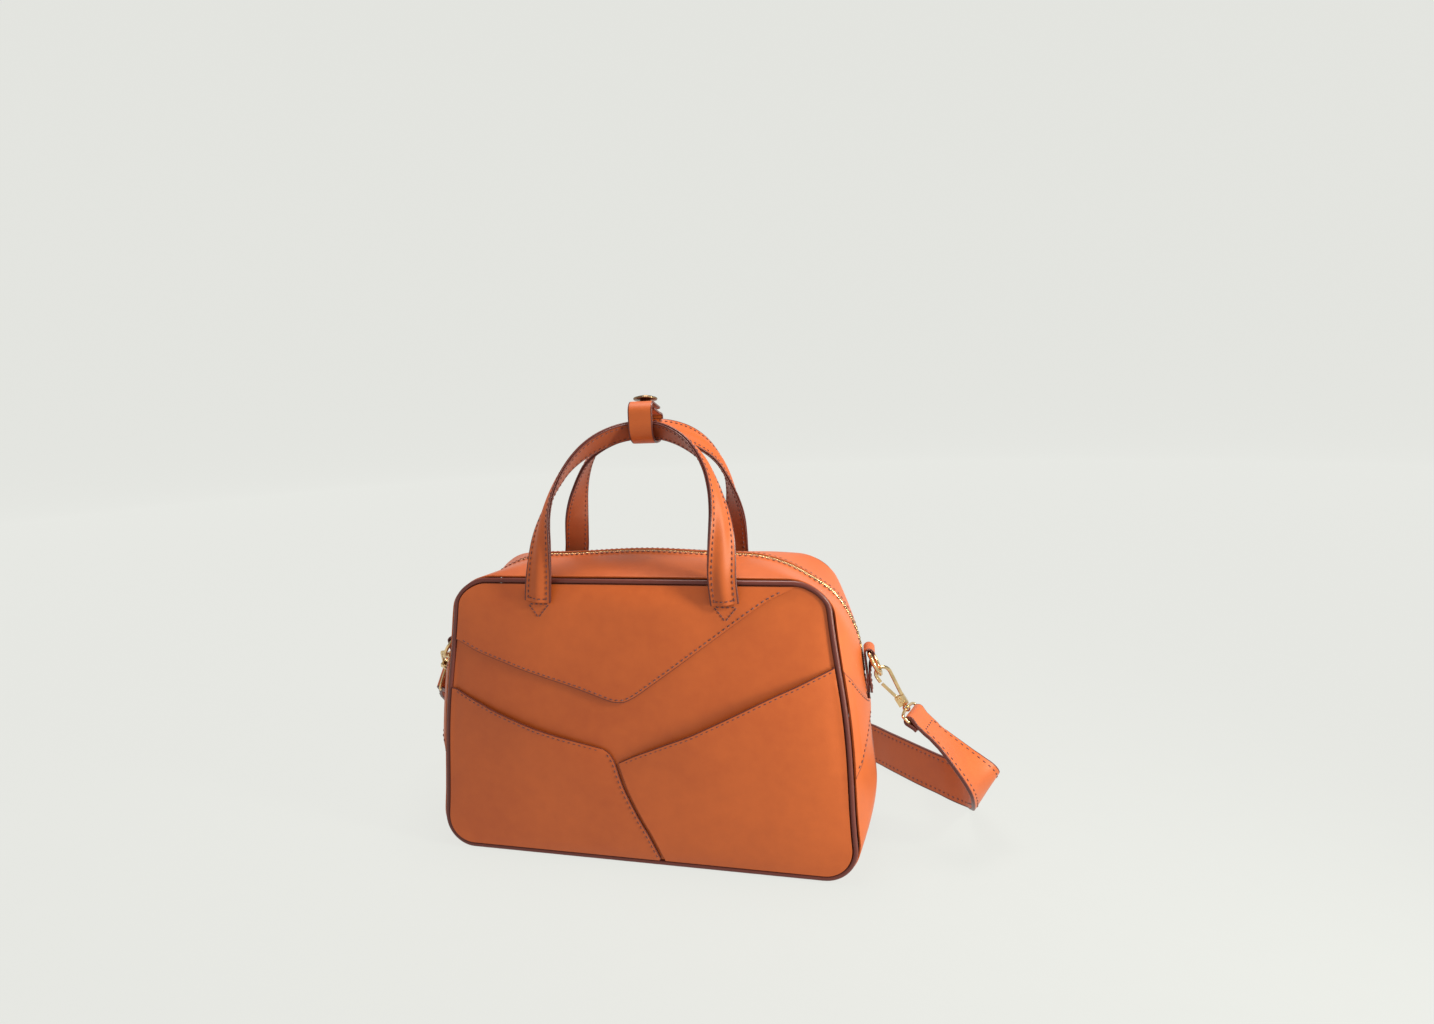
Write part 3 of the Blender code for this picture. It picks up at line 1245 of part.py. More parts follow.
def strap_end(origin, axis, across):
    """Half of the sewn end round a ring's bar: the tail, the turn and the start of the band."""
    turn = STRAP_RING_RADIUS + GAP + STRAP_THICKNESS / 2
    close = STRAP_THICKNESS / 2 + GAP / 2
    normal = axis.cross(across).normalized()
    if normal.x * origin.x > 0:
        normal.negate()
    rows = [(origin - axis * STRAP_TAIL + normal * close, across),
            (origin - axis * STRAP_TAIL / 2 + normal * close, across),
            (origin - axis * turn * 2 + normal * close, across)]
    for share in shares(0.0, 1.0, 6):
        angle = math.pi * share
        rows.append((origin + axis * turn * math.sin(angle) + normal * turn * math.cos(angle),
                     across))
    rows.append((origin - axis * turn * 2 - normal * close, across))
    rows.append((origin - axis * STRAP_TAIL / 2 - normal * close, across))
    rows.append((origin - axis * STRAP_TAIL - normal * close, across))
    return rows


def route_point(place_shares):
    x, y, z = place_shares
    height = STRAP_WIDTH / 2 + GAP if z is None else z * STRAP_SWING
    return Vector((x * STRAP_SWING, y * STRAP_SWING, height))


def make_strap(ends):
    head = strap_end(*ends["right"])
    tail = strap_end(*ends["left"])
    route = [head[-2], head[-1]]
    route += [(route_point(spot), Vector(direction)) for spot, direction in STRAP_ROUTE_SHARES]
    route += [tail[-1], tail[-2]]
    rows = head[:-2] + smooth_route(route) + tail[-3::-1]
    frames = []
    for index, (point, direction) in enumerate(rows):
        before = rows[max(index - 1, 0)][0]
        after = rows[min(index + 1, len(rows) - 1)][0]
        heading = (after - before).normalized()
        across = (direction - heading * direction.dot(heading)).normalized()
        frames.append((point, across, heading.cross(across)))
    half = STRAP_WIDTH / 2
    wall = STRAP_THICKNESS / 2
    breaks = (-half, 0.0, half)
    section = layer(breaks, (wall,) * len(breaks), (-wall,) * len(breaks))
    add_mesh("shoulder_strap", strip_mesh(frames, section), LEATHER_TAN)


# Inside

def make_inside():
    floor = GUSSET_LEATHER + 2 * LAYER_GAP + LINING + GAP
    half_width = MIDDLE.low[0] - BOARD_SIDE_INSET
    depth = BASE_DEPTH / 2 - BOARD_FRONT_INSET
    board = block("base_board", (-half_width, -depth, floor), (half_width, depth, floor + BOARD),
                  Matrix.Identity(4), BOARD_GREY)
    bevel = board.modifiers.new("edge", "BEVEL")
    bevel.width = BOARD / 4
    bevel.segments = 1

    columns = 6
    rows = 3
    face = LINING_FACE - LINING - INNER_POCKET_STAND

    def place(i, j):
        x = INNER_POCKET_HALF_WIDTH * (1 - 2 * i / columns)
        z = INNER_POCKET_BOTTOM + (INNER_POCKET_TOP - INNER_POCKET_BOTTOM) * j / rows
        return on_wall(x, z, face, 1)

    sheet("inner_pocket", LINING_TAN, columns, rows, place, LINING)


def make_side(side, side_name, ring_degrees, hook_axis_shares, ring_axis_shares, across_shares):
    make_tab(side, side_name)
    apex = make_side_ring(side, side_name, ring_degrees)
    place = hook_frame(side, hook_axis_shares, apex)
    make_hook(side_name, place)
    across = Vector(across_shares)
    frame = make_swivel(side_name, place, across)
    held = frame @ Vector((STRAP_RING_REACH, 0.0, 0.0))
    return make_strap_ring(side_name, held, Vector(ring_axis_shares).normalized(), across)


def main():
    clear_scene()
    make_collections()
    make_walls()
    make_upper_panel()
    make_pockets()
    make_pipings()
    make_gussets()
    make_side_patches()
    make_zip()
    make_slider()
    make_handles()
    make_keeper()
    ends = {
        "right": make_side(1, "right", RIGHT_RING_DEGREES, RIGHT_HOOK_AXIS_SHARES,
                           RIGHT_RING_AXIS_SHARES, RIGHT_STRAP_ACROSS_SHARES),
        "left": make_side(-1, "left", LEFT_RING_DEGREES, LEFT_HOOK_AXIS_SHARES,
                          LEFT_RING_AXIS_SHARES, LEFT_STRAP_ACROSS_SHARES),
    }
    make_strap(ends)
    make_inside()


main()
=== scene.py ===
import json
import math

import bmesh
import bpy
import numpy as np
from mathutils import Matrix, Vector, noise

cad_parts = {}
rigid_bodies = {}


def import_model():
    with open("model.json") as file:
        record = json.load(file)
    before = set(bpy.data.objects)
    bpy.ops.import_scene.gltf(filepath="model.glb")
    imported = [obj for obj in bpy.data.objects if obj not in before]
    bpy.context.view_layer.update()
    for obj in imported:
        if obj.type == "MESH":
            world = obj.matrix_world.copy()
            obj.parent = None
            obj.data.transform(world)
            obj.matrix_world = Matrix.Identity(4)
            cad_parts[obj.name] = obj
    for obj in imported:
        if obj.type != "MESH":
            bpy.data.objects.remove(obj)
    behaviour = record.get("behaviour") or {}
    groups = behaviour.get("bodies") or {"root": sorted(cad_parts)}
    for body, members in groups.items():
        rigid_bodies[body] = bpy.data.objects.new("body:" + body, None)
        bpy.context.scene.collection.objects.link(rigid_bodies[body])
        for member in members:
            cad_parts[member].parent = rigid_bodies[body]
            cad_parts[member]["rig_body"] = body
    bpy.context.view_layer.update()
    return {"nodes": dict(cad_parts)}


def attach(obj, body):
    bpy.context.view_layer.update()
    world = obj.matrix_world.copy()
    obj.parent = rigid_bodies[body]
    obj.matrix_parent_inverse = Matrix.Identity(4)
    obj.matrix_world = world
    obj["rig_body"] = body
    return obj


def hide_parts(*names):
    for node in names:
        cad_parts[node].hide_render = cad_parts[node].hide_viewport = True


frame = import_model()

# From here to the shoulder strap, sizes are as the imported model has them. Gaps and the walls
GAP = 0.0003
LAYER_GAP = 0.0006
WALL_HALF_BOTTOM = 0.155
WALL_HALF_TOP = 0.137
WALL_HEIGHT = 0.2091
WALL_BOTTOM_RADIUS = 0.0195
WALL_TOP_RADIUS = 0.023
WALL_SIDE_BOW = 0.003
WALL_PUFF = 0.009
BASE_DEPTH = 0.130
TOP_DEPTH = 0.100

# Outline half way between the walls, where the zip runs
MIDDLE_HALF_BOTTOM = 0.1775
MIDDLE_HALF_TOP = 0.1548
MIDDLE_HEIGHT = 0.2278
MIDDLE_BOTTOM_RADIUS = 0.054
MIDDLE_TOP_RADIUS = 0.088
MIDDLE_CROWN = 0.003

# Leather, lining, inner pocket and piping
LEATHER = 0.0014
GUSSET_LEATHER = 0.0016
LINING = 0.0006
INNER_POCKET_HALF_WIDTH = 0.085
INNER_POCKET_BOTTOM = 0.050
INNER_POCKET_TOP = 0.150
INNER_POCKET_STAND = 0.0012
LINING_INSET = 0.0060
LINING_REACH_SHARE = 0.84
PIPING_RADIUS = 0.0023
PIPING_SET_BACK = 0.0008

# Seams on the gussets, as shares of the straight side of an outline
SIDE_POINT_SHARE = 0.617
PATCH_TOP_SHARE = 0.752
PATCH_BOTTOM_SHARE = 0.282
PATCH_TIP_SHARE = 0.06

# Zip, slider and pull
ZIP_END_SHARE = 0.86
ZIP_OPENING = 0.0098
TAPE_WIDTH = 0.0140
TAPE_THICKNESS = 0.0006
CHAIN_WIDTH = 0.0056
CHAIN_HEIGHT = 0.0024
SLIDER_REST_DEGREES = 34.0
SLIDER_CLEARANCE = 0.0004
SLIDER_WALL = 0.0012
BRIDGE_HEIGHT = 0.0036
PULL_BAR = 0.0011
PULL_EYE = 0.0048
PULL_PLATE = 0.0060
PULL_LEAN_DEGREES = 9.0
PULL_TAB_LENGTH = 0.0150
PULL_TAB_WIDTH = 0.0066
PULL_TAB_THICKNESS = 0.0010

# Handles: half of each arch, foot first, as shares of its spread, rise and depth
HANDLE_WIDTH = 0.0205
HANDLE_STRAP = 0.0013
HANDLE_EDGE = 0.0015
HANDLE_CORE_HALF = 0.0066
HANDLE_HALF_SPREAD = 0.0705
HANDLE_RISE = 0.1251
HANDLE_FOOT_DROP = 0.0173
HANDLE_LEAN = 0.0050
HANDLE_BACK_SHIFT = -0.0050
HANDLE_TOP_OFFSET = 0.0096
HANDLE_PATH_SHARES = ((1.000, 0.000, 1.000), (0.985, 0.088, 1.020), (0.973, 0.179, 1.010),
                      (0.969, 0.269, 0.965), (0.963, 0.359, 0.912), (0.950, 0.448, 0.861),
                      (0.926, 0.535, 0.795), (0.887, 0.618, 0.714), (0.835, 0.698, 0.622),
                      (0.769, 0.773, 0.528), (0.679, 0.841, 0.432), (0.570, 0.898, 0.330),
                      (0.443, 0.944, 0.225), (0.302, 0.977, 0.110), (0.153, 0.996, 0.012),
                      (0.000, 1.000, 0.000))
HANDLE_TURN_DEGREES = (0.0, 3.0, 9.0, 20.0, 31.0, 46.0, 61.0, 74.0, 83.0, 91.0, 101.0, 112.0,
                       121.0, 127.0, 130.0, 131.0)

# Keeper and its snap
KEEPER_CENTRE = 0.0053
KEEPER_WIDTH = 0.0188
KEEPER_LEATHER = 0.0016
KEEPER_CLEARANCE = 0.0007
KEEPER_RISE = 0.0219
KEEPER_HALF_DEPTH = 0.0212
KEEPER_SLOPE_DEGREES = 12.0
KEEPER_FLAP_LENGTH = 0.0285
KEEPER_RETURN = 0.0200
KEEPER_FRONT_SHARES = ((-0.575, 1.0), (-0.85, 0.955), (-0.985, 0.83), (-1.0, 0.60),
                       (-0.985, 0.36), (-0.80, 0.14), (-0.42, 0.02), (0.0, 0.0))
KEEPER_BACK_SHARES = ((0.42, 0.02), (0.80, 0.14), (0.985, 0.36), (1.0, 0.54), (0.915, 0.66))
SNAP_ALONG = 0.0118
SNAP_CAP_RADIUS = 0.0094
SNAP_CAP_HEIGHT = 0.0034
SNAP_SOCKET_HEIGHT = 0.0022

# Side tabs, their rings and the hooks
TAB_WIDTH = 0.0200
TAB_LEATHER = 0.0014
TAB_STAND = 0.0012
TAB_FOLD_RADIUS = 0.0026
TAB_BOTTOM = 0.1190
TAB_BAR_HEIGHT = 0.1510
TAB_TIP_SHARE = 0.22
TAB_TAPER_SHARE = 0.62
TAB_CLOSING_SHARE = 0.45
RING_RADIUS = 0.0015
RING_HALF_WIDTH = 0.0125
RING_LENGTH = 0.0190
RIGHT_RING_DEGREES = 25.0
LEFT_RING_DEGREES = 32.0
RIGHT_HOOK_AXIS_SHARES = (-0.51, 0.04, 0.86)
LEFT_HOOK_AXIS_SHARES = (0.36, -0.70, 0.60)
HOOK_JAW_SHIFT = 0.0010
HOOK_JAW_CENTRE = 0.0372
HOOK_JAW_RADIUS = 0.0053
HOOK_WIRE = 0.00135

# Shoulder strap: its route as shares of STRAP_SWING, where no height means the floor, and the
# direction across it; both ends turn round a ring
STRAP_RING_RADIUS = 0.0011
STRAP_RING_REACH = 0.0072
STRAP_RING_FULLNESS = 0.3
STRAP_WIDTH = 0.0340
STRAP_THICKNESS = 0.0026
STRAP_TAIL = 0.0240
STRAP_STEP = 0.0040
STRAP_SWING = 0.2570
STRAP_ROUTE_SHARES = (
    ((0.928, -0.028, 0.254), (0.55, 0.83, 0.08)),
    ((0.960, -0.008, 0.206), (0.60, 0.74, 0.26)),
    ((0.968, 0.036, 0.168), (0.50, 0.68, 0.48)),
    ((0.962, 0.108, 0.139), (0.34, 0.60, 0.70)),
    ((0.952, 0.192, 0.108), (0.15, 0.48, 0.86)),
    ((0.940, 0.278, 0.073), (-0.12, 0.38, 0.92)),
    ((0.877, 0.348, 0.070), (-0.23, 0.32, 0.92)),
    ((0.803, 0.430, 0.070), (-0.18, 0.31, 0.93)),
    ((0.727, 0.520, 0.070), (-0.12, 0.23, 0.97)),
    ((0.645, 0.620, None), (-0.02, 0.10, 0.99)),
    ((0.500, 0.715, None), (0.00, 0.00, 1.00)),
    ((0.290, 0.785, None), (0.00, 0.00, 1.00)),
    ((0.000, 0.815, None), (0.00, 0.00, 1.00)),
    ((-0.290, 0.785, None), (0.00, 0.00, 1.00)),
    ((-0.480, 0.720, None), (0.00, 0.02, 1.00)),
    ((-0.640, 0.615, 0.080), (0.00, 0.10, 0.99)),
    ((-0.740, 0.500, 0.130), (0.02, 0.24, 0.97)),
    ((-0.788, 0.380, 0.210), (0.06, 0.42, 0.90)),
    ((-0.795, 0.285, 0.300), (0.08, 0.52, 0.85)),
)
RIGHT_RING_AXIS_SHARES = (-0.72, 0.22, 0.66)
RIGHT_STRAP_ACROSS_SHARES = (0.27, 0.96, -0.06)
LEFT_RING_AXIS_SHARES = (0.30, -0.74, 0.60)
LEFT_STRAP_ACROSS_SHARES = (0.10, 0.62, 0.78)

# Seams on the walls as (x, z) shares of the wall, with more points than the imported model's
UPPER_EDGE_SHARES = ((-0.912, 0.769), (-0.810, 0.735), (-0.732, 0.715), (-0.651, 0.697),
                     (-0.566, 0.677), (-0.481, 0.659), (-0.378, 0.639), (-0.275, 0.619),
                     (-0.183, 0.598), (-0.123, 0.584), (-0.094, 0.578), (-0.061, 0.577),
                     (-0.030, 0.580), (-0.001, 0.591), (0.029, 0.604), (0.117, 0.652),
                     (0.211, 0.703), (0.302, 0.753), (0.391, 0.801), (0.479, 0.849),
                     (0.567, 0.898), (0.651, 0.952), (0.736, 0.990))
LEFT_POCKET_TOP_SHARES = ((-0.930, 0.585), (-0.858, 0.562), (-0.789, 0.542), (-0.723, 0.522),
                          (-0.657, 0.505), (-0.571, 0.484), (-0.487, 0.465), (-0.383, 0.446),
                          (-0.283, 0.430), (-0.210, 0.418), (-0.147, 0.407))
LEFT_POCKET_SIDE_SHARES = ((-0.147, 0.407), (-0.115, 0.391), (-0.091, 0.359), (-0.070, 0.307),
                           (-0.049, 0.262), (-0.016, 0.206), (0.019, 0.151), (0.063, 0.088),
                           (0.110, 0.004))
RIGHT_POCKET_TOP_SHARES = ((-0.075, 0.358), (0.009, 0.390), (0.102, 0.421), (0.187, 0.449),
                           (0.273, 0.476), (0.356, 0.507), (0.439, 0.538), (0.522, 0.569),
                           (0.602, 0.599), (0.682, 0.627), (0.762, 0.653), (0.848, 0.684),
                           (0.935, 0.714))

UPPER_HEIGHT_SHARE = 0.42
LEFT_SEAM_LEVEL = 0.97
RIGHT_SEAM_LEVEL = 0.965

# Mesh steps, and how edges are rounded and painted
CELL = 0.0024
EDGE_ROUND = 0.00035
EDGE_ROW = 0.0006
SECTION_CORNER_SHARE = 0.42
SECTION_CORNER_MOST = EDGE_ROUND * 1.4
HANDLE_CORNER = EDGE_ROUND * 1.5
SHEET_EDGE_DEGREES = 55
METAL_EDGE_DEGREES = 30
BAND_END_DEGREES = 60
WELD = 0.00001
BAND_END_ROUND = 0.0004
WIDE_END_ROUND = 0.0006
KEEPER_END_ROUND = 0.0003
TAB_END_ROUND = 0.0002
METAL_SIDES = 20
TURNED_SIDES = 48

# Metal nodes that keep their own shape: finish and width of their rounded edges
METAL_NODES = {"zip_slider": ("gold", 0.0003), "zip_pull": ("gold", 0.00022),
               "keeper_snap_socket": ("bronze", 0.00025), "keeper_snap_stud": ("bronze", 0.00015),
               "hook": ("gold", 0.00022), "hook_gate": ("gold", 0.00022),
               "hook_rivet": ("gold", 0.00015), "hook_swivel": ("gold", 0.0001)}

# Soft forms that only the finished surface has
UNEVEN = 0.0007
UNEVEN_SCALE = 17.0
PILLOW = 0.0018
PILLOW_SHARE = 0.12
SETTLE = 0.0043
SETTLE_FROM = 0.190
SETTLE_TO = 0.2145
POCKET_GAPE = 0.0052
CORD_RADIUS = 0.0020
CORD_STEPS = 420
CORD_SIDES = 16
CORD_RIPPLE = 0.00012
RIPPLE_SCALE = 420
SEAM_REACH = 0.0004
SKIN_END = 0.958
TUCK_FROM = 0.88
TUCK_DEPTH = 0.90
TAPE_END_SHARE = 0.635
LIP_RISE = 0.0013
LIP_LOW_SHARE = 0.15
LIP_END = 1.2
LIP_STEEPNESS = 5
FADE_FROM = 0.12
FADE_RATE = 4
HANDLE_CROWN = 0.0033
HANDLE_CROWN_POWER = 0.75
HANDLE_SHIFT = -0.0010
FOOT_RISE = 0.0016
TRIANGLE_DROP = 0.0016
TRIANGLE_HEIGHT = 0.0108
CAP_STAND = 0.0034
TAIL_SEEN = 0.0080
FLAP_CORNER_SHARE = 0.30
FLAP_END_SHARE = 0.35

# Snap cap: its post and collar, its rolled rim, and its under side, groove and dome as shares
SNAP_POST_RADIUS = 0.0016
SNAP_COLLAR = ((0.0016, 0.0001), (0.0040, 0.0002), (0.0044, 0.0005))
SNAP_RIM_RADIUS = 0.0009
SNAP_STEP = 0.0001
SNAP_CAP_SHARES = (0.86, 0.80, 0.76)

# Stitches and teeth
STITCH_PITCH = 0.0042
STITCH_LENGTH = 0.0027
STITCH_RADIUS = 0.00052
STITCH_SIDES = 6
STITCH_RINGS = ((-0.50, 0.35, -0.9), (-0.38, 0.85, -0.1), (0.0, 1.0, 0.35), (0.38, 0.85, -0.1),
                (0.50, 0.35, -0.9))
SEAM_INSET = 0.0019
HANDLE_SEAM_INSET = 0.0030
PATCH_SEAM_INSET = SEAM_INSET * 1.15
PATCH_SEAM_SHARES = (0.24, 0.96)
PATCH_SIDE = 0.112
STRAP_SEAM_INSET = 0.0040
STRAP_SEAM_START = 26
STRAP_CROSS_SHARE = 0.97
HANDLE_CROSS_SHARE = 0.98
ZIP_SEAM_INSET = 0.0026
TOOTH_PITCH = 0.0017
TOOTH_LENGTH = 0.00105
TOOTH_NECK_SHARE = 0.72
TOOTH_REACH_PAST = 0.0006
TOOTH_ROUND = 0.00026
TOOTH_EXTRA = 0.0002
TOOTH_HEIGHT_SHARE = 0.94
TOOTH_STAND = 0.0001
TAPE_CORD_HEIGHT = 0.0007
TAPE_CORD_WIDTH = 0.0006
SEAM_END = 0.004
SEAM_SHORT_END = 0.003
TAB_SEAM_ROWS = 21
TRIANGLE_PITCH = STITCH_PITCH * 0.8
STRAP_PITCH = STITCH_PITCH * 1.15

# Stage, light and camera
STAGE_FLAT_RADII = (0.001, 0.6, 1.2)
STAGE_RADIUS = 4.0
STAGE_SWEEP = 1.0
STAGE_RISE = 2.6
STAGE_SIDES = 96
STAGE_DROP = 0.0002
PAPER = (0.020, 0.020, 0.019)
PAPER_RANGE = ((0.3, (0.019, 0.019, 0.018)), (0.7, (0.021, 0.021, 0.020)))
PAPER_GLOW = (0.990, 1.0, 0.952)
PAPER_GLOW_STRENGTH = 0.757
SKY = (0.95, 0.97, 1.0)
SKY_STRENGTH = 0.30
KEY_COLOUR = (0.93, 1.0, 0.86)
LIGHTS = (
    # name, place, target, size, power, opening in degrees, colour
    ("key", (0.62, -0.22, 0.50), (0.03, -0.03, 0.13), 0.12, 1.7, 120, KEY_COLOUR),
    ("low_key", (0.70, -0.23, 0.19), (0.03, -0.03, 0.13), 0.16, 1.2, 120, KEY_COLOUR),
    ("top", (0.05, 0.05, 1.1), (0.0, 0.0, 0.2), 0.4, 6.0, 150, (1.0, 0.96, 0.90)),
)
CAMERA_PLACE = (0.1623, -0.7033, 0.3610)
CAMERA_DEGREES = (-16.7722, -6.8244, -3.0599)
CAMERA_FOCAL_PIXELS = 926.0
CAMERA_CENTRE = (581.9, 493.3)
IMAGE_PIXELS = (1434.0, 1024.0)
SENSOR_WIDTH = 36.0

# Worked out from these
WALL_FOOT = 2 * PIPING_RADIUS + 2 * GAP
HANDLE_FOOT_HEIGHT = WALL_FOOT + WALL_HEIGHT - HANDLE_FOOT_DROP + FOOT_RISE
ARCH_RISE = HANDLE_RISE - FOOT_RISE
KEEPER_TOP = HANDLE_FOOT_HEIGHT + ARCH_RISE + KEEPER_RISE
OVERLAY_FACE = LEATHER
PANEL_FACE = -LAYER_GAP
LINING_FACE = PANEL_FACE - LEATHER - LAYER_GAP
TAPE_TOP = GUSSET_LEATHER + GAP
CHAIN_BOTTOM = TAPE_TOP - GAP


# Outlines and surfaces of the body

class Outline:
    """Half of a rounded trapezoid, from the middle of its base to the middle of its top."""

    def __init__(self, half_bottom, half_top, foot, height, bottom_radius, top_radius, bow, crown):
        self.half_bottom = half_bottom
        self.foot = foot
        self.height = height
        self.bow = bow
        self.crown = crown
        self.radii = (bottom_radius, top_radius)
        self.lean = math.atan2(half_bottom - half_top, height)
        self.low = self.centre(bottom_radius, bottom_radius)
        self.high = self.centre(height - top_radius, top_radius)

    def centre(self, level, radius):
        reach = self.half_bottom - level * math.tan(self.lean) - radius / math.cos(self.lean)
        return (reach, level)

    def on_arc(self, centre, radius, angle):
        x = centre[0] + radius * math.cos(angle)
        z = centre[1] + radius * math.sin(angle)
        return x, z, math.cos(angle), math.sin(angle)

    def point(self, section, share):
        """Place and outward direction at a share of one section of the right half."""
        bottom_radius, top_radius = self.radii
        quarter = math.pi / 2
        if section == "base":
            x, z, nx, nz = self.low[0] * share, 0.0, 0.0, -1.0
        elif section == "low":
            turn = -quarter + (quarter + self.lean) * share
            x, z, nx, nz = self.on_arc(self.low, bottom_radius, turn)
        elif section == "high":
            turn = self.lean + (quarter - self.lean) * share
            x, z, nx, nz = self.on_arc(self.high, top_radius, turn)
        elif section == "top":
            x = self.high[0] * (1 - share)
            z = self.height + self.crown * math.sin(quarter * share) ** 2
            nx, nz = 0.0, 1.0
        else:
            start = self.on_arc(self.low, bottom_radius, self.lean)
            end = self.on_arc(self.high, top_radius, self.lean)
            nx, nz = start[2], start[3]
            swell = self.bow * math.sin(math.pi * share) ** 2
            x = between(start[0], end[0], share) + nx * swell
            z = between(start[1], end[1], share) + nz * swell
        return x, z + self.foot, nx, nz

    def at(self, station, outward=0.0):
        side, section, share = station
        x, z, nx, nz = self.point(section, share)
        return side * (x + nx * outward), z + nz * outward, side * nx, nz


WALL = Outline(WALL_HALF_BOTTOM, WALL_HALF_TOP, WALL_FOOT, WALL_HEIGHT,
               WALL_BOTTOM_RADIUS, WALL_TOP_RADIUS, WALL_SIDE_BOW, 0.0)
MIDDLE = Outline(MIDDLE_HALF_BOTTOM, MIDDLE_HALF_TOP, 0.0, MIDDLE_HEIGHT,
                 MIDDLE_BOTTOM_RADIUS, MIDDLE_TOP_RADIUS, 0.0, MIDDLE_CROWN)


def shares(start, end, count):
    return [start + (end - start) * index / count for index in range(count + 1)]


def between(low, high, share):
    return low + (high - low) * share


def trail(*parts):
    """Stations along (side, section, start share, end share, count) parts, one after another."""
    side, section, start = parts[0][:3]
    stations = [(side, section, start)]
    for side, section, start, end, count in parts:
        stations += [(side, section, share) for share in shares(start, end, count)[1:]]
    return stations


def over_the_top(start, side_count, arc_count, top_count):
    return trail((1, "side", start, 1, side_count), (1, "high", 0, 1, arc_count),
                 (1, "top", 0, 1, top_count), (-1, "top", 1, 0, top_count),
                 (-1, "high", 1, 0, arc_count), (-1, "side", 1, start, side_count))


def under_the_base(start, side_count, arc_count, base_count):
    return trail((1, "side", start, 0, side_count), (1, "low", 1, 0, arc_count),
                 (1, "base", 1, 0, base_count), (-1, "base", 0, 1, base_count),
                 (-1, "low", 0, 1, arc_count), (-1, "side", 0, start, side_count))


def half_depth(z):
    return between(BASE_DEPTH, TOP_DEPTH, (z - WALL_FOOT) / WALL_HEIGHT) / 2


def bulge(x, z):
    """How far a place of the wall is from its edges, from 0 on an edge to 1 in the middle."""
    level = (z - WALL_FOOT) / WALL_HEIGHT
    half_width = between(WALL_HALF_BOTTOM, WALL_HALF_TOP, level)
    return max(0.0, 1 - (x / half_width) ** 2) * max(0.0, 1 - (2 * level - 1) ** 2)


def wall_puff(x, z):
    """The soft wall swells, quickly near its seam and then slowly."""
    share = bulge(x, z)
    return WALL_PUFF * share + PILLOW * (1 - math.exp(-share / PILLOW_SHARE))


def eased(value, start, end):
    """Rises smoothly from 0 at start to 1 at end."""
    share = min(1.0, max(0.0, (value - start) / (end - start)))
    return share * share * (3 - 2 * share)


def settled(point):
    """The top of the leather sits a little lower than the stiff outline behind it."""
    drop = SETTLE * eased(point.z, SETTLE_FROM, SETTLE_TO)
    return Vector((point.x, point.y, point.z - drop))


def unevenness(point):
    """Slow rise and fall of the leather, the same for every layer at a place."""
    return UNEVEN * noise.noise(point * UNEVEN_SCALE)


def on_wall(x, z, outward, facing):
    """Point of the front (facing -1) or back (facing 1) wall, moved outward."""
    rise = unevenness(Vector((x, facing, z))) * min(1.0, 3 * bulge(x, z))
    return settled(Vector((x, facing * (half_depth(z) + wall_puff(x, z) + outward + rise), z)))


def gusset_point(station, reach, inward):
    """Point of the skin between the walls: reach is 0 at the zip and 1 or -1 at the pipings."""
    wall_x, wall_z, wall_nx, wall_nz = WALL.at(station, WALL_FOOT)
    mid_x, mid_z, mid_nx, mid_nz = MIDDLE.at(station)
    weight = reach * reach
    x = wall_x * weight + mid_x * (1 - weight)
    z = wall_z * weight + mid_z * (1 - weight)
    y = -reach * half_depth(z)
    outward = Vector((wall_nx * weight + mid_nx * (1 - weight), 0.0,
                      wall_nz * weight + mid_nz * (1 - weight))).normalized()
    along = Vector((-outward.z, 0.0, outward.x))
    across = Vector((2 * reach * (wall_x - mid_x), -half_depth(z), 2 * reach * (wall_z - mid_z)))
    normal = along.cross(across).normalized()
    if normal.dot(outward) < 0:
        normal.negate()
    return settled(Vector((x, y, z)) - normal * inward)


def gusset_frame(station, reach, inward):
    """Point of that skin and the direction out of it."""
    low = gusset_point(station, reach, inward)
    return low, (gusset_point(station, reach, inward - LEATHER) - low).normalized()


# Finishes

def new_material(name, colour, roughness, metallic=0.0):
    material = bpy.data.materials.new(name)
    material.use_nodes = True
    shader = material.node_tree.nodes["Principled BSDF"]
    set_shader(shader, Base_Color=(*colour, 1.0), Roughness=roughness, Metallic=metallic)
    return material, shader


def add_node(material, kind, **values):
    node = material.node_tree.nodes.new(kind)
    for name, value in values.items():
        if name in node.inputs:
            node.inputs[name].default_value = value
        else:
            setattr(node, name, value)
    return node


def link(material, source, target):
    material.node_tree.links.new(source, target)


def object_place(material):
    return add_node(material, "ShaderNodeTexCoord").outputs["Object"]


def noise_node(material, place, scale, detail=3.0, roughness=0.55):
    node = add_node(material, "ShaderNodeTexNoise", Scale=scale, Detail=detail,
                    Roughness=roughness)
    link(material, place, node.inputs["Vector"])
    return node.outputs["Fac"]


def ramp(material, value, stops):
    """Colours between stops of (position, colour)."""
    node = add_node(material, "ShaderNodeValToRGB")
    elements = node.color_ramp.elements
    for index, (position, colour) in enumerate(stops):
        element = elements[index] if index < 2 else elements.new(position)
        element.position = position
        element.color = (*colour, 1.0)
    link(material, value, node.inputs["Fac"])
    return node.outputs["Color"]


def spread(material, value, low, high):
    """A value from 0 to 1 carried to a range."""
    node = add_node(material, "ShaderNodeMapRange")
    node.inputs["To Min"].default_value = low
    node.inputs["To Max"].default_value = high
    link(material, value, node.inputs["Value"])
    return node.outputs["Result"]


def blend_values(material, first, second, share):
    """Part of one value and the rest of another."""
    node = add_node(material, "ShaderNodeMix", data_type="FLOAT")
    node.inputs[0].default_value = share
    link(material, first, node.inputs[2])
    link(material, second, node.inputs[3])
    return node.outputs[0]


def bump(material, shader, height, strength, distance):
    node = add_node(material, "ShaderNodeBump", Strength=strength, Distance=distance)
    link(material, height, node.inputs["Height"])
    link(material, node.outputs["Normal"], shader.inputs["Normal"])


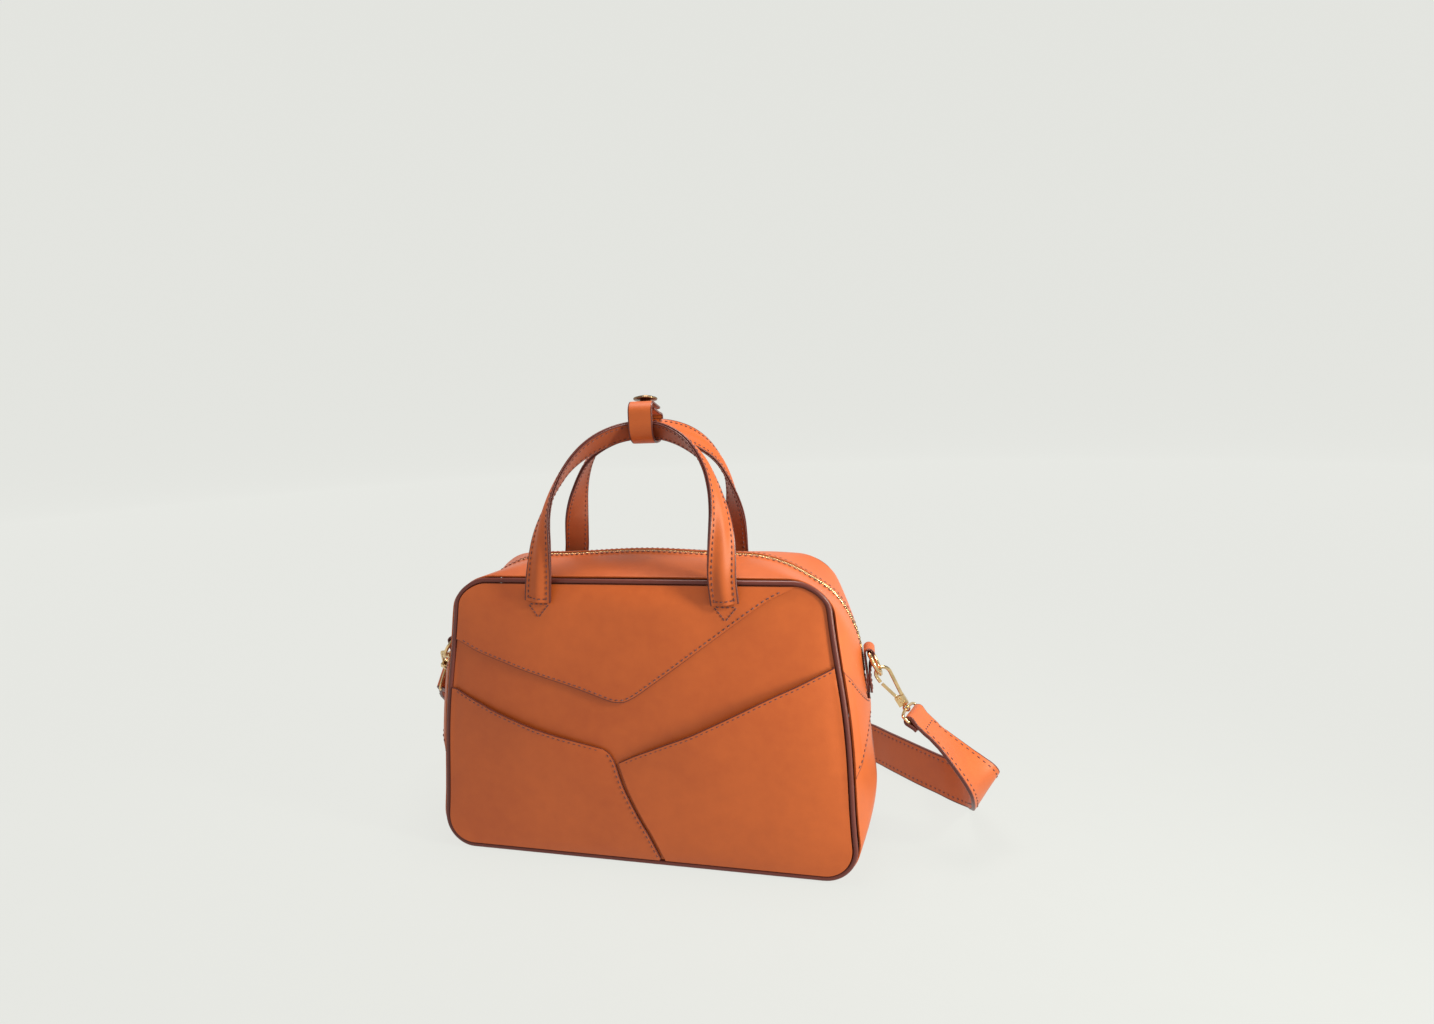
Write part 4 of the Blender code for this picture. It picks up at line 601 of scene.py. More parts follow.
def tint(colour, factor):
    return tuple(min(1.0, channel * factor) for channel in colour)


def vary(colour, factors, variation):
    return tuple(channel * (1 + factor * variation) for channel, factor in zip(colour, factors))


def set_shader(shader, **values):
    for name, value in values.items():
        shader.inputs[name.replace("_", " ")].default_value = value


def leather(name, colour, roughness=0.44, variation=0.10, grain=1500.0, depth=0.00012, coat=0.10):
    """Smooth calf: fine pebbled grain, small pores, cloudy dye and a satin finish."""
    material, shader = new_material(name, colour, roughness)
    place = object_place(material)
    clouds = noise_node(material, place, 11.0, 4.0)
    mottle = noise_node(material, place, 120.0, 3.0)
    dye = blend_values(material, clouds, mottle, 0.3)
    warm = vary(colour, (-1, -1.7, -2), variation)
    light = vary(colour, (1, 1.3, 1.5), variation)
    link(material, ramp(material, dye, ((0.32, warm), (0.5, colour), (0.68, light))),
         shader.inputs["Base Color"])
    cells = add_node(material, "ShaderNodeTexVoronoi", feature="SMOOTH_F1", Scale=grain,
                     Smoothness=0.6, Randomness=0.9)
    link(material, place, cells.inputs["Vector"])
    pores = noise_node(material, place, grain * 1.7, 2.0)
    creases = noise_node(material, place, 210.0, 5.0, 0.62)
    pebble = blend_values(material, cells.outputs["Distance"], pores, 0.35)
    surface = blend_values(material, pebble, creases, 0.45)
    bump(material, shader, surface, 0.55, depth)
    link(material, spread(material, blend_values(material, mottle, pores, 0.4),
                          roughness - 0.07, roughness + 0.09), shader.inputs["Roughness"])
    set_shader(shader, Coat_Weight=coat, Coat_Roughness=0.32, Sheen_Weight=0.03,
               Sheen_Roughness=0.45, Specular_IOR_Level=0.36)
    return material


def cloth(name, colour, thread, roughness=0.85, depth=0.00025):
    """Woven cloth: two crossed sets of threads and soft sheen."""
    material, shader = new_material(name, colour, roughness)
    place = object_place(material)
    waves = []
    for direction in ("X", "Z"):
        wave = add_node(material, "ShaderNodeTexWave", bands_direction=direction, Scale=thread,
                        Distortion=0.6, Detail=1.0)
        link(material, place, wave.inputs["Vector"])
        waves.append(wave.outputs["Fac"])
    weave = blend_values(material, waves[0], waves[1], 0.5)
    link(material, ramp(material, weave, ((0.2, tint(colour, 0.7)), (0.8, tint(colour, 1.25)))),
         shader.inputs["Base Color"])
    bump(material, shader, weave, 0.7, depth)
    set_shader(shader, Sheen_Weight=0.25)
    return material


def metal(name, colour, roughness, tarnish=0.25, dents=0.00003):
    """Plated metal with fine scratches and a little tarnish in cloudy patches."""
    material, shader = new_material(name, colour, roughness, 1.0)
    place = object_place(material)
    clouds = noise_node(material, place, 160.0, 4.0)
    scratches = noise_node(material, place, 1900.0, 3.0)
    link(material, ramp(material, clouds, ((0.35, tint(colour, 1 - tarnish)), (0.6, colour))),
         shader.inputs["Base Color"])
    link(material, spread(material, blend_values(material, clouds, scratches, 0.5),
                          roughness * 0.75, roughness * 1.35), shader.inputs["Roughness"])
    bump(material, shader, scratches, 0.25, dents)
    return material


TAN = (0.460, 0.086, 0.013)
MAROON = (0.120, 0.021, 0.013)
LOOKS = {
    "body": leather("tan_leather", TAN, coat=0.05),
    "handle": leather("handle_leather", tint(TAN, 0.98), roughness=0.52, coat=0.0),
    # The handles' underside: a darker copy of the handle leather, with the shade it lies in
    # painted into its colour
    "underside_painted_shade": leather("handle_underside_painted_shade", (0.270, 0.052, 0.014), roughness=0.52, coat=0.04),
    "strap": leather("strap_leather", tint(TAN, 0.98), roughness=0.46),
    "piping": leather("piping_leather", MAROON, roughness=0.40, grain=1900.0, coat=0.10),
    "edge": leather("edge_paint", tint(MAROON, 0.9), roughness=0.38, grain=700.0, depth=0.00006,
                    coat=0.12),
    "thread": cloth("rust_thread", (0.125, 0.018, 0.011), 2600.0, 0.6, 0.00008),
    "tape": cloth("zip_tape_weave", (0.180, 0.042, 0.014), 900.0),
    "lining": cloth("lining_weave", (0.42, 0.27, 0.15), 620.0),
    "board": cloth("board_fibre", (0.16, 0.14, 0.12), 240.0),
    "gold": metal("pale_gold", (0.80, 0.57, 0.29), 0.20),
    "bronze": metal("old_bronze", (0.30, 0.19, 0.10), 0.30, tarnish=0.5, dents=0.00008),
}

BODY_LOOKS = ("body", "edge")
HANDLE_LOOKS = ("handle", "edge")


# Tools for new pieces

def place_piece(name, mesh, looks, replaces=(), body="root"):
    """A piece in the scene: its finishes, the nodes it stands for and the body it rides on.
    """
    piece = bpy.data.objects.new(name, mesh)
    bpy.context.scene.collection.objects.link(piece)
    for look in looks:
        mesh.materials.append(LOOKS[look])
    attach(piece, body)
    if replaces:
        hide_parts(*replaces)
    return piece


def mesh_from(name, vertices, faces, indices=None, closed=False):
    mesh = bpy.data.meshes.new(name)
    mesh.from_pydata([tuple(vertex) for vertex in vertices], [], faces)
    mesh.shade_smooth()
    if indices is not None:
        mesh.polygons.foreach_set("material_index", indices)
    if closed:
        bm = bmesh.new()
        bm.from_mesh(mesh)
        bmesh.ops.recalc_face_normals(bm, faces=bm.faces)
        bm.to_mesh(mesh)
        bm.free()
    return mesh


def ring_faces(count, sides, loop=False):
    """Faces between rings of vertices, and two ends unless the rings close on themselves."""
    faces = []
    for ring in range(count if loop else count - 1):
        low, high = ring * sides, (ring + 1) % count * sides
        for step in range(sides):
            following = (step + 1) % sides
            faces.append((low + step, low + following, high + following, high + step))
    if not loop:
        faces.append(tuple(reversed(range(sides))))
        faces.append(tuple(range((count - 1) * sides, count * sides)))
    return faces


def circle(sides):
    """Cosine and sine of even steps round a circle."""
    turns = [2 * math.pi * step / sides for step in range(sides)]
    return [(math.cos(turn), math.sin(turn)) for turn in turns]


def heading_at(points, index):
    """Direction of a line of points at one of them."""
    last = len(points) - 1
    return (Vector(points[min(index + 1, last)]) - Vector(points[max(index - 1, 0)])).normalized()


def with_edge_rows(start, end, count, margin):
    """Shares with one extra, narrow step at each end, where the edge turns over."""
    return [start, start + margin] + shares(start, end, count)[1:-1] + [end - margin, end]


def round_edges(piece, name, width, degrees, segments=2):
    edge = piece.modifiers.new(name, "BEVEL")
    edge.width = width
    edge.segments = segments
    edge.limit_method = "ANGLE"
    edge.angle_limit = math.radians(degrees)


def add_thickness(piece, thickness, round_edge=EDGE_ROUND):
    solid = piece.modifiers.new("thickness", "SOLIDIFY")
    solid.thickness = thickness
    solid.offset = -1.0
    solid.use_even_offset = False
    solid.material_offset_rim = 1
    round_edges(piece, "round_edge", round_edge, SHEET_EDGE_DEGREES)


def sheet(name, us, vs, place, thickness, looks, round_edge=EDGE_ROUND, paint=(), plain=()):
    """A fine grid laid on a surface, thickened behind it.

    Edge paint laps a little way over the face at the painted sides, and a plain side is sewn in
    or folded, so it has no paint. The sides are left and right along us, bottom and top along vs.
    The rim takes the finish one step after its face's: a painted face is 2, a plain one 4.
    """
    vertices = [place(u, v) for u in us for v in vs]
    columns = len(us) - 1
    rows = len(vs) - 1
    faces = []
    indices = []
    for i in range(columns):
        for j in range(rows):
            low = i * (rows + 1) + j
            faces.append((low, low + rows + 1, low + rows + 2, low + 1))
            touched = {"left": i == 0, "right": i == columns - 1,
                       "bottom": j == 0, "top": j == rows - 1}
            painted = any(touched[side] for side in paint)
            indices.append(2 if painted else 4 if any(touched[side] for side in plain) else 0)
    mesh = mesh_from(name + "_skin", vertices, faces, indices)
    face, edge = looks[0], looks[-1]  # cloth has one finish for both
    piece = place_piece(name + "_skin", mesh, (face, edge, edge, edge, face, face), (name,))
    add_thickness(piece, thickness, round_edge)


def lengths_along(points):
    """Length of a line up to each of its points."""
    steps = np.linalg.norm(np.diff(np.array(points, float), axis=0), axis=1)
    return np.concatenate(([0.0], np.cumsum(steps)))


def resample(points, count):
    """Points of a line at even steps of its length; any number of axes."""
    points = np.array(points, float)
    lengths = lengths_along(points)
    targets = np.linspace(0.0, lengths[-1], count + 1)
    return np.stack([np.interp(targets, lengths, points[:, axis])
                     for axis in range(points.shape[1])], axis=1)


def curve_value(a, b, c, d, t):
    return 0.5 * (2 * b + (c - a) * t + (2 * a - 5 * b + 4 * c - d) * t * t
                  + (3 * b - a - 3 * c + d) * t ** 3)


def smooth_line(points, steps):
    """Points of a smooth curve through some points."""
    points = np.array(points, float)
    last = len(points) - 1
    result = []
    for index in range(last):
        a, b = points[max(index - 1, 0)], points[index]
        c, d = points[index + 1], points[min(index + 2, last)]
        result += [curve_value(a, b, c, d, step / steps) for step in range(steps)]
    return np.array(result + [points[-1]])


def stretch(bottom, top, left, right):
    """A rule that fills four boundary lines, given as arrays of (x, z) at even steps."""
    def along(line, share):
        spot = min(share, 1.0) * (len(line) - 1)
        index = min(int(spot), len(line) - 2)
        return line[index] + (line[index + 1] - line[index]) * (spot - index)

    def place(u, v):
        low, high = along(bottom, u), along(top, u)
        near, far = along(left, v), along(right, v)
        value = (1 - v) * low + v * high + (1 - u) * near + u * far
        value = value - (1 - u) * ((1 - v) * bottom[0] + v * top[0])
        return value - u * ((1 - v) * bottom[-1] + v * top[-1])

    return place


def wall_line(stations, inset, count=160):
    return resample([WALL.at(station, -inset)[:2] for station in stations], count)


def edge_line(edge_shares, count=160):
    spots = [(x * WALL_HALF_BOTTOM, WALL_FOOT + z * WALL_HEIGHT) for x, z in edge_shares]
    return resample(smooth_line(spots, 8), count)


def side_share_at(z):
    low = WALL.point("side", 0.0)[1]
    high = WALL.point("side", 1.0)[1]
    return (z - low) / (high - low)


def line_length(line):
    return float(lengths_along(line)[-1])


def wall_sheet(name, rule, size, outward, thickness, facing, looks=BODY_LOOKS, gape=None,
               round_edge=EDGE_ROUND, paint=()):
    """A sheet on a wall that follows a stretch rule; size is its width and height."""
    columns = max(8, round(size[0] / CELL))
    rows = max(6, round(size[1] / CELL))
    us = with_edge_rows(0.0, 1.0, columns, EDGE_ROW / size[0])
    vs = with_edge_rows(0.0, 1.0, rows, EDGE_ROW / size[1])

    def place(u, v):
        share = u if facing < 0 else 1 - u
        x, z = rule(share, v)
        extra = gape(share, v) if gape else 0.0
        return on_wall(x, z, outward + extra, facing)

    sheet(name, us, vs, place, thickness, looks, round_edge, paint)


# Stitches and other small repeated shapes

def scatter(name, template, spots, look, replaces=()):
    """Copies of a small closed shape at (origin, along, side, up) spots, as one piece."""
    shape, shape_faces = template
    shape = np.array(shape, float)
    vertices = []
    faces = []
    for origin, along, side, up in spots:
        start = len(vertices) * len(shape)
        basis = np.array([along, side, up], float)
        vertices.append(shape @ basis + np.array(origin, float))
        faces += [tuple(start + index for index in face) for face in shape_faces]
    place_piece(name, mesh_from(name, np.concatenate(vertices), faces), (look,), replaces)


def stitch_shape():
    """A thread that dives into its holes: thin at both ends and bowed in the middle."""
    vertices = [(along * STITCH_LENGTH, x * STITCH_RADIUS * size,
                 y * STITCH_RADIUS * size + rise * STITCH_RADIUS)
                for along, size, rise in STITCH_RINGS for x, y in circle(STITCH_SIDES)]
    return vertices, ring_faces(len(STITCH_RINGS), STITCH_SIDES)


STITCH = stitch_shape()


def stitch_spots(line, pitch=STITCH_PITCH):
    """Spots along a dense line of (point, normal) pairs, one for each stitch."""
    points = np.array([tuple(point) + tuple(normal) for point, normal in line], float)
    lengths = lengths_along(points[:, :3])
    count = max(1, round(lengths[-1] / pitch))
    targets = (np.arange(count) + 0.5) * lengths[-1] / count
    reach = min(pitch / 3, lengths[-1] / count / 3)
    spots = []

    def at(target):
        return np.array([np.interp(target, lengths, points[:, axis]) for axis in range(6)])

    for target in targets:
        middle, before, after = at(target), at(target - reach), at(target + reach)
        along = after[:3] - before[:3]
        along = along / np.linalg.norm(along)
        normal = middle[3:] - along * np.dot(middle[3:], along)
        normal = normal / np.linalg.norm(normal)
        spots.append((middle[:3], along, np.cross(normal, along), normal))
    return spots


def sew(name, lines, pitch=STITCH_PITCH):
    spots = [spot for line in lines for spot in stitch_spots(line, pitch)]
    scatter(name, STITCH, spots, "thread")


def wall_seam(line, outward, facing, gape=None):
    """Points and normals over a line of (x, z) places on a wall."""
    result = []
    step = CELL / 4
    count = len(line) - 1
    for index, (x, z) in enumerate(line):
        extra = gape(index / count) if gape else 0.0
        point = on_wall(x, z, outward + extra, facing)
        right = on_wall(x + step, z, outward + extra, facing) - point
        upward = on_wall(x, z + step, outward + extra, facing) - point
        normal = right.cross(upward).normalized()
        if normal.y * facing < 0:
            normal.negate()
        result.append((point, normal))
    return result


def inset_line(line, distance):
    """A line beside a line of (x, z) places; a positive distance is on its left."""
    line = np.array(line, float)
    heading = np.gradient(line, axis=0)
    heading /= np.linalg.norm(heading, axis=1)[:, None]
    return line + np.stack([-heading[:, 1], heading[:, 0]], axis=1) * distance


def trim(line, start, end):
    """The line without a length at each end."""
    lengths = lengths_along(line)
    keep = (lengths >= start) & (lengths <= lengths[-1] - end)
    return np.array(line)[keep]


# Front and back walls

def wall_corner_lines(inset):
    """The wall's outline in four lines that meet at the middles of its corners."""
    bottom = trail((-1, "low", 0.5, 0, 12), (-1, "base", 1, 0, 3),
                   (1, "base", 0, 1, 3), (1, "low", 0, 0.5, 12))
    top = trail((-1, "high", 0.5, 1, 12), (-1, "top", 0, 1, 3),
                (1, "top", 1, 0, 3), (1, "high", 1, 0.5, 12))
    left, right = (trail((side, "low", 0.5, 1, 12), (side, "side", 0, 1, 24),
                         (side, "high", 0, 0.5, 12)) for side in (-1, 1))
    return [wall_line(path, inset) for path in (bottom, top, left, right)]


def make_walls():
    size = (2 * WALL_HALF_BOTTOM, WALL_HEIGHT)
    rule = stretch(*wall_corner_lines(-SEAM_REACH))
    for name, facing in (("front_middle_panel", -1), ("back_panel", 1)):
        wall_sheet(name, rule, size, PANEL_FACE, LEATHER, facing)
    rule = stretch(*wall_corner_lines(LINING_INSET))
    for name, facing in (("lining_front", -1), ("lining_back", 1)):
        wall_sheet(name, rule, size, LINING_FACE, LINING, facing, ("lining",),
                   round_edge=LINING / 4)


def make_upper_panel():
    edge = edge_line(UPPER_EDGE_SHARES)
    start = side_share_at(edge[0][1])
    top_line = wall_line(trail((-1, "high", 0.5, 1.0, 12), (-1, "top", 0.0, 1.0, 3),
                               (1, "top", 1.0, 0.0, 3), (1, "high", 1.0, 0.95, 1)), -SEAM_REACH)
    left_line = wall_line(trail((-1, "side", start, 1.0, 8), (-1, "high", 0.0, 0.5, 12)),
                          -SEAM_REACH)
    edge[0] = left_line[0]
    right_line = resample([edge[-1], top_line[-1]], 20)
    size = (line_length(top_line), WALL_HEIGHT * UPPER_HEIGHT_SHARE)
    wall_sheet("front_upper_panel", stretch(edge, top_line, left_line, right_line), size,
               OVERLAY_FACE, LEATHER, -1, paint=("bottom",))
    seam = trim(inset_line(edge, SEAM_INSET), SEAM_END, SEAM_END)
    sew("front_upper_panel_stitches", [wall_seam(seam, OVERLAY_FACE, -1)])


def pocket_gape(u, v):
    return POCKET_GAPE * math.sin(math.pi * u) * v ** 3


def make_left_pocket():
    face = OVERLAY_FACE + GAP
    edge = edge_line(LEFT_POCKET_TOP_SHARES)
    side_edge = edge_line(LEFT_POCKET_SIDE_SHARES)[::-1].copy()
    start = side_share_at(edge[0][1])
    bottom_line = wall_line(trail((-1, "low", 0.5, 0.0, 12), (-1, "base", 1.0, 0.0, 3)),
                            -SEAM_REACH)
    corner = (side_edge[0][0] - LEATHER, bottom_line[-1][1])
    bottom_line = resample([*bottom_line, corner], 160)
    side_edge[0] = bottom_line[-1]
    left_line = wall_line(trail((-1, "low", 0.5, 1.0, 12), (-1, "side", 0.0, start, 12)),
                          -SEAM_REACH)
    edge[0] = left_line[-1]

    def gape(u, v):
        return 0.5 * pocket_gape(u, v)

    size = (line_length(bottom_line), line_length(left_line))
    wall_sheet("front_left_pocket", stretch(bottom_line, edge, left_line, side_edge), size, face,
               LEATHER + GAP, -1, gape=gape, paint=("top", "right"))
    top_seam = trim(inset_line(edge, -SEAM_INSET), SEAM_END, SEAM_SHORT_END)
    side_seam = trim(inset_line(side_edge, SEAM_INSET), SEAM_SHORT_END, SEAM_SHORT_END)
    sew("front_left_pocket_stitches",
        [wall_seam(top_seam, face, -1, lambda share: gape(share, LEFT_SEAM_LEVEL)),
         wall_seam(side_seam, face, -1)])


def make_right_pocket():
    """Its bottom line starts under the left pocket's side and leaves out what lies before that."""
    edge = edge_line(RIGHT_POCKET_TOP_SHARES)
    near = edge_line(LEFT_POCKET_SIDE_SHARES[2:])
    near[:, 0] += 2 * LEATHER
    start = side_share_at(edge[-1][1])
    bottom = trail((1, "base", 0.0, 1.0, 12), (1, "low", 0.0, 0.5, 12))[1:]
    bottom_line = wall_line(bottom, -SEAM_REACH)
    beyond = [spot for spot in bottom_line if spot[0] > near[-1][0] + CELL]
    bottom_line = resample([(near[-1][0], bottom_line[0][1])] + beyond, 160)
    near_line = near[::-1].copy()
    near_line[0] = bottom_line[0]
    near_line[-1] = edge[0]
    right_line = wall_line(trail((1, "low", 0.5, 1.0, 12), (1, "side", 0.0, start, 12)),
                           -SEAM_REACH)
    edge[-1] = right_line[-1]
    size = (line_length(bottom_line), line_length(right_line))
    wall_sheet("front_right_pocket", stretch(bottom_line, edge, near_line, right_line), size,
               OVERLAY_FACE, LEATHER, -1, gape=pocket_gape, paint=("top",))
    seam = trim(inset_line(edge, -SEAM_INSET), SEAM_END, SEAM_END)
    sew("front_right_pocket_stitches",
        [wall_seam(seam, OVERLAY_FACE, -1, lambda share: pocket_gape(share, RIGHT_SEAM_LEVEL))])


def make_inner_pocket():
    face = LINING_FACE - LINING - INNER_POCKET_STAND

    def place(u, v):
        x = INNER_POCKET_HALF_WIDTH * (1 - 2 * u)
        return on_wall(x, between(INNER_POCKET_BOTTOM, INNER_POCKET_TOP, v), face, 1)

    sheet("inner_pocket", shares(0, 1, 40), shares(0, 1, 24), place, LINING, ("lining",),
          LINING / 4)


# Pipings

def tube(name, points, radius, look, node, body="root", sides=METAL_SIDES, ripple=0.0):
    """A closed round bar along points, with an optional ripple of its surface."""
    points = [Vector(point) for point in points]
    count = len(points)
    vertices = []
    up = None
    for index, point in enumerate(points):
        heading = (points[(index + 1) % count] - points[index - 1]).normalized()
        up = up or heading.orthogonal().normalized()
        up = (up - heading * up.dot(heading)).normalized()
        side = heading.cross(up)
        for x, y in circle(sides):
            direction = up * x + side * y
            wave = noise.noise((point + direction * radius) * RIPPLE_SCALE) if ripple else 0.0
            vertices.append(point + direction * (radius - ripple * (0.5 + 0.5 * wave)))
    mesh = mesh_from(name, vertices, ring_faces(count, sides, True), closed=True)
    place_piece(name, mesh, (look,), (node,), body)


def make_pipings():
    path = over_the_top(0.5, 12, 16, 24)[:-1] + under_the_base(0.5, 12, 14, 24)[:0:-1]
    for name, facing in (("front_piping", -1), ("back_piping", 1)):
        points = []
        for station in path:
            x, z = WALL.at(station, PIPING_RADIUS + GAP)[:2]
            points.append(settled(Vector((x, facing * (half_depth(z) - PIPING_SET_BACK), z))))
        points = resample(points + points[:1], CORD_STEPS)[:-1]
        tube(name + "_cord", points, CORD_RADIUS, "piping", name, "root", CORD_SIDES, CORD_RIPPLE)


# Gussets

def gusset_sheet(name, path, reaches, inward, thickness, looks, lift=None,
                 round_edge=EDGE_ROUND, plain=()):
    flip = reaches[0] > reaches[-1]
    stations = list(reversed(path)) if flip else path

    def place(u, v):
        station = stations[int(u)]
        reach = reaches[int(v)]
        extra = lift(station, reach) if lift else 0.0
        rise = unevenness(gusset_point(station, reach, 0.0)) * (1 - reach * reach)
        return gusset_point(station, reach, inward - extra - rise * fade(station, reach))

    us = range(len(stations))
    vs = range(len(reaches))
    sheet(name, us, vs, place, thickness, looks, round_edge, (), plain)


def fade(station, reach):
    """No unevenness under the zip, the tabs and the floor."""
    if station[1] in ("base", "low"):
        return 0.0
    return min(1.0, max(0.0, abs(reach) - FADE_FROM) * FADE_RATE)


def make_gussets():
    zip_reach = ZIP_OPENING / 2 / half_depth(MIDDLE_HEIGHT)
    edge = EDGE_ROW / (TOP_DEPTH / 2)
    top_path = over_the_top(SIDE_POINT_SHARE, 18, 44, 26)
    front_reaches = with_edge_rows(zip_reach, SKIN_END, 24, edge)
    back_reaches = [-reach for reach in reversed(front_reaches)]
    rolled = ZIP_SEAM_INSET / (TOP_DEPTH / 2)

    def lift(station, reach):
        """The turned-in edge beside the zip is doubled, so it stands a little proud on the top."""
        share = (abs(reach) - zip_reach) / rolled
        height = {"top": 1.0, "high": max(LIP_LOW_SHARE, station[2]), "side": LIP_LOW_SHARE}
        return LIP_RISE * height[station[1]] / (1 + math.exp(LIP_STEEPNESS * (share - LIP_END)))

    sides = (("zip_gusset_front", 1, front_reaches), ("zip_gusset_back", -1, back_reaches))
    for name, side, reaches in sides:
        gusset_sheet(name, top_path, reaches, 0.0, GUSSET_LEATHER, BODY_LOOKS, lift,
                     plain=("bottom", "top"))
    seam_reach = zip_reach + rolled
    for name, side, reaches in sides:
        sew(name + "_stitches",
            [[gusset_frame(station, side * seam_reach, -lift(station, seam_reach))
              for station in top_path]])

    base_path = list(reversed(under_the_base(SIDE_POINT_SHARE - 0.01, 44, 24, 40)))
    across = with_edge_rows(-SKIN_END, SKIN_END, 40, edge)
    gusset_sheet("base_gusset", base_path, across, 0.0, GUSSET_LEATHER, BODY_LOOKS,
                 plain=("bottom", "top"))
    inner = shares(-LINING_REACH_SHARE, LINING_REACH_SHARE, 30)
    gusset_sheet("lining_gusset", base_path, inner, GUSSET_LEATHER + 2 * LAYER_GAP, LINING,
                 ("lining",), round_edge=LINING / 4)


def patch_share(across, tilt):
    target = between(PATCH_BOTTOM_SHARE, PATCH_TOP_SHARE, tilt)
    return between(SIDE_POINT_SHARE, target, across)


def patch_spot(side, facing, across, tilt):
    """Station, reach and rise of the skin at a place of a patch."""
    station = (side, "side", patch_share(across, tilt))
    reach = facing * across * SKIN_END
    rise = unevenness(gusset_point(station, reach, 0.0)) * (1 - reach * reach)
    return station, reach, rise * fade(station, reach)


def patch_face(across):
    """How far the patch stands over the skin; its sewn end dips beside the piping."""
    return (LAYER_GAP + LEATHER) * (1 - TUCK_DEPTH * eased(across, TUCK_FROM, 1.0))


def make_side_patches():
    margin = EDGE_ROW / (TOP_DEPTH / 2)
    for side, side_name in ((-1, "left"), (1, "right")):
        for facing, facing_name in ((1, "front"), (-1, "back")):
            def place(u, v, side=side, facing=facing):
                tilt = u if side * facing > 0 else 1 - u
                across = PATCH_TIP_SHARE + (1 - PATCH_TIP_SHARE) * v
                station, reach, rise = patch_spot(side, facing, across, tilt)
                return gusset_point(station, reach, -patch_face(across) - rise)

            name = "_".join((side_name, facing_name, "side_patch"))
            sheet(name, with_edge_rows(0.0, 1.0, 30, margin), with_edge_rows(0.0, 1.0, 24, margin),
                  place, LEATHER, BODY_LOOKS, paint=("left", "right"), plain=("top",))
            lines = []
            for tilt_edge, inward in ((1.0, -1), (0.0, 1)):
                line = []
                for across in shares(*PATCH_SEAM_SHARES, 40):
                    width = abs(patch_share(across, 1.0) - patch_share(across, 0.0)) * PATCH_SIDE
                    tilt = tilt_edge + inward * PATCH_SEAM_INSET / width
                    station, reach, rise = patch_spot(side, facing, across, tilt)
                    line.append(gusset_frame(station, reach, -patch_face(across) - rise))
                lines.append(line)
            sew(name + "_stitches", lines)


# Zip

def zip_line():
    """Dense points over the zip, from its right end to its left, and the outward direction."""
    path = over_the_top(ZIP_END_SHARE, 8, 60, 30)
    points = resample([gusset_point(station, 0.0, CHAIN_BOTTOM) for station in path], 1200)
    headings = np.gradient(points, axis=0)
    headings /= np.linalg.norm(headings, axis=1)[:, None]
    ups = np.stack([headings[:, 2], np.zeros(len(points)), -headings[:, 0]], axis=1)
    return points, ups


def tooth_shape():
    """One tooth: a rounded bar with a wider head, from the tape to just past the middle."""
    bm = bmesh.new()
    bmesh.ops.create_cube(bm, size=1.0)
    reach = CHAIN_WIDTH / 2 + TOOTH_EXTRA
    for vertex in bm.verts:
        head = 1.0 if vertex.co.y > 0 else TOOTH_NECK_SHARE
        vertex.co.x *= TOOTH_LENGTH * head
        vertex.co.y = (vertex.co.y - 0.5) * reach + TOOTH_REACH_PAST
        vertex.co.z = (vertex.co.z + 0.5) * CHAIN_HEIGHT * TOOTH_HEIGHT_SHARE + TOOTH_STAND
    bmesh.ops.bevel(bm, geom=list(bm.edges), offset=TOOTH_ROUND, segments=2, affect="EDGES")
    bm.verts.index_update()
    shape = [tuple(vertex.co) for vertex in bm.verts]
    faces = [tuple(vertex.index for vertex in face.verts) for face in bm.faces]
    bm.free()
    return shape, faces


def make_zip():
    points, ups = zip_line()
    lengths = lengths_along(points)
    spots = []
    for tooth in range(2 * int(lengths[-1] / TOOTH_PITCH)):
        target = (tooth + 0.5) * TOOTH_PITCH / 2
        index = int(np.searchsorted(lengths, target)) - 1
        across = np.array([0.0, -1.0 if tooth % 2 else 1.0, 0.0])
        spots.append((points[index], np.cross(across, ups[index]), across, ups[index]))
    scatter("zip_teeth", tooth_shape(), spots, "gold", ("zip_chain",))
    path = over_the_top(TAPE_END_SHARE, 14, 44, 26)
    depth = half_depth(MIDDLE_HEIGHT)
    outer = TAPE_WIDTH / depth
    inner = GAP / depth

    def cord(station, reach):
        """The woven cord that the teeth are clamped on."""
        across = abs(reach) * depth
        return TAPE_CORD_HEIGHT * math.exp(-((across - CHAIN_WIDTH / 2) / TAPE_CORD_WIDTH) ** 2)

    for name, reaches in (("zip_tape_front", shares(inner, outer, 26)),
                          ("zip_tape_back", shares(-outer, -inner, 26))):
        gusset_sheet(name, path, reaches, TAPE_TOP, TAPE_THICKNESS, ("tape",), cord,
                     TAPE_THICKNESS / 5)


def frame_matrix(origin, x_axis, y_axis):
    x_axis = Vector(x_axis).normalized()
    z_axis = x_axis.cross(Vector(y_axis)).normalized()
    y_axis = z_axis.cross(x_axis)
    matrix = Matrix((x_axis, y_axis, z_axis)).transposed().to_4x4()
    matrix.translation = Vector(origin)
    return matrix


def polish(node):
    """The node's own shape with rounded edges and a metal finish."""
    look, width = METAL_NODES[node.removeprefix("left_").removeprefix("right_")]
    mesh = frame["nodes"][node].data.copy()
    mesh.materials.clear()
    bm = bmesh.new()
    bm.from_mesh(mesh)
    bmesh.ops.remove_doubles(bm, verts=bm.verts, dist=WELD)
    bmesh.ops.dissolve_limit(bm, angle_limit=math.radians(1), verts=bm.verts, edges=bm.edges)
    bm.to_mesh(mesh)
    bm.free()
    mesh.shade_smooth()
    body = frame["nodes"][node]["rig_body"]
    piece = place_piece(node + "_finished", mesh, (look,), (node,), body)
    round_edges(piece, "round_edge", width, METAL_EDGE_DEGREES, 3)


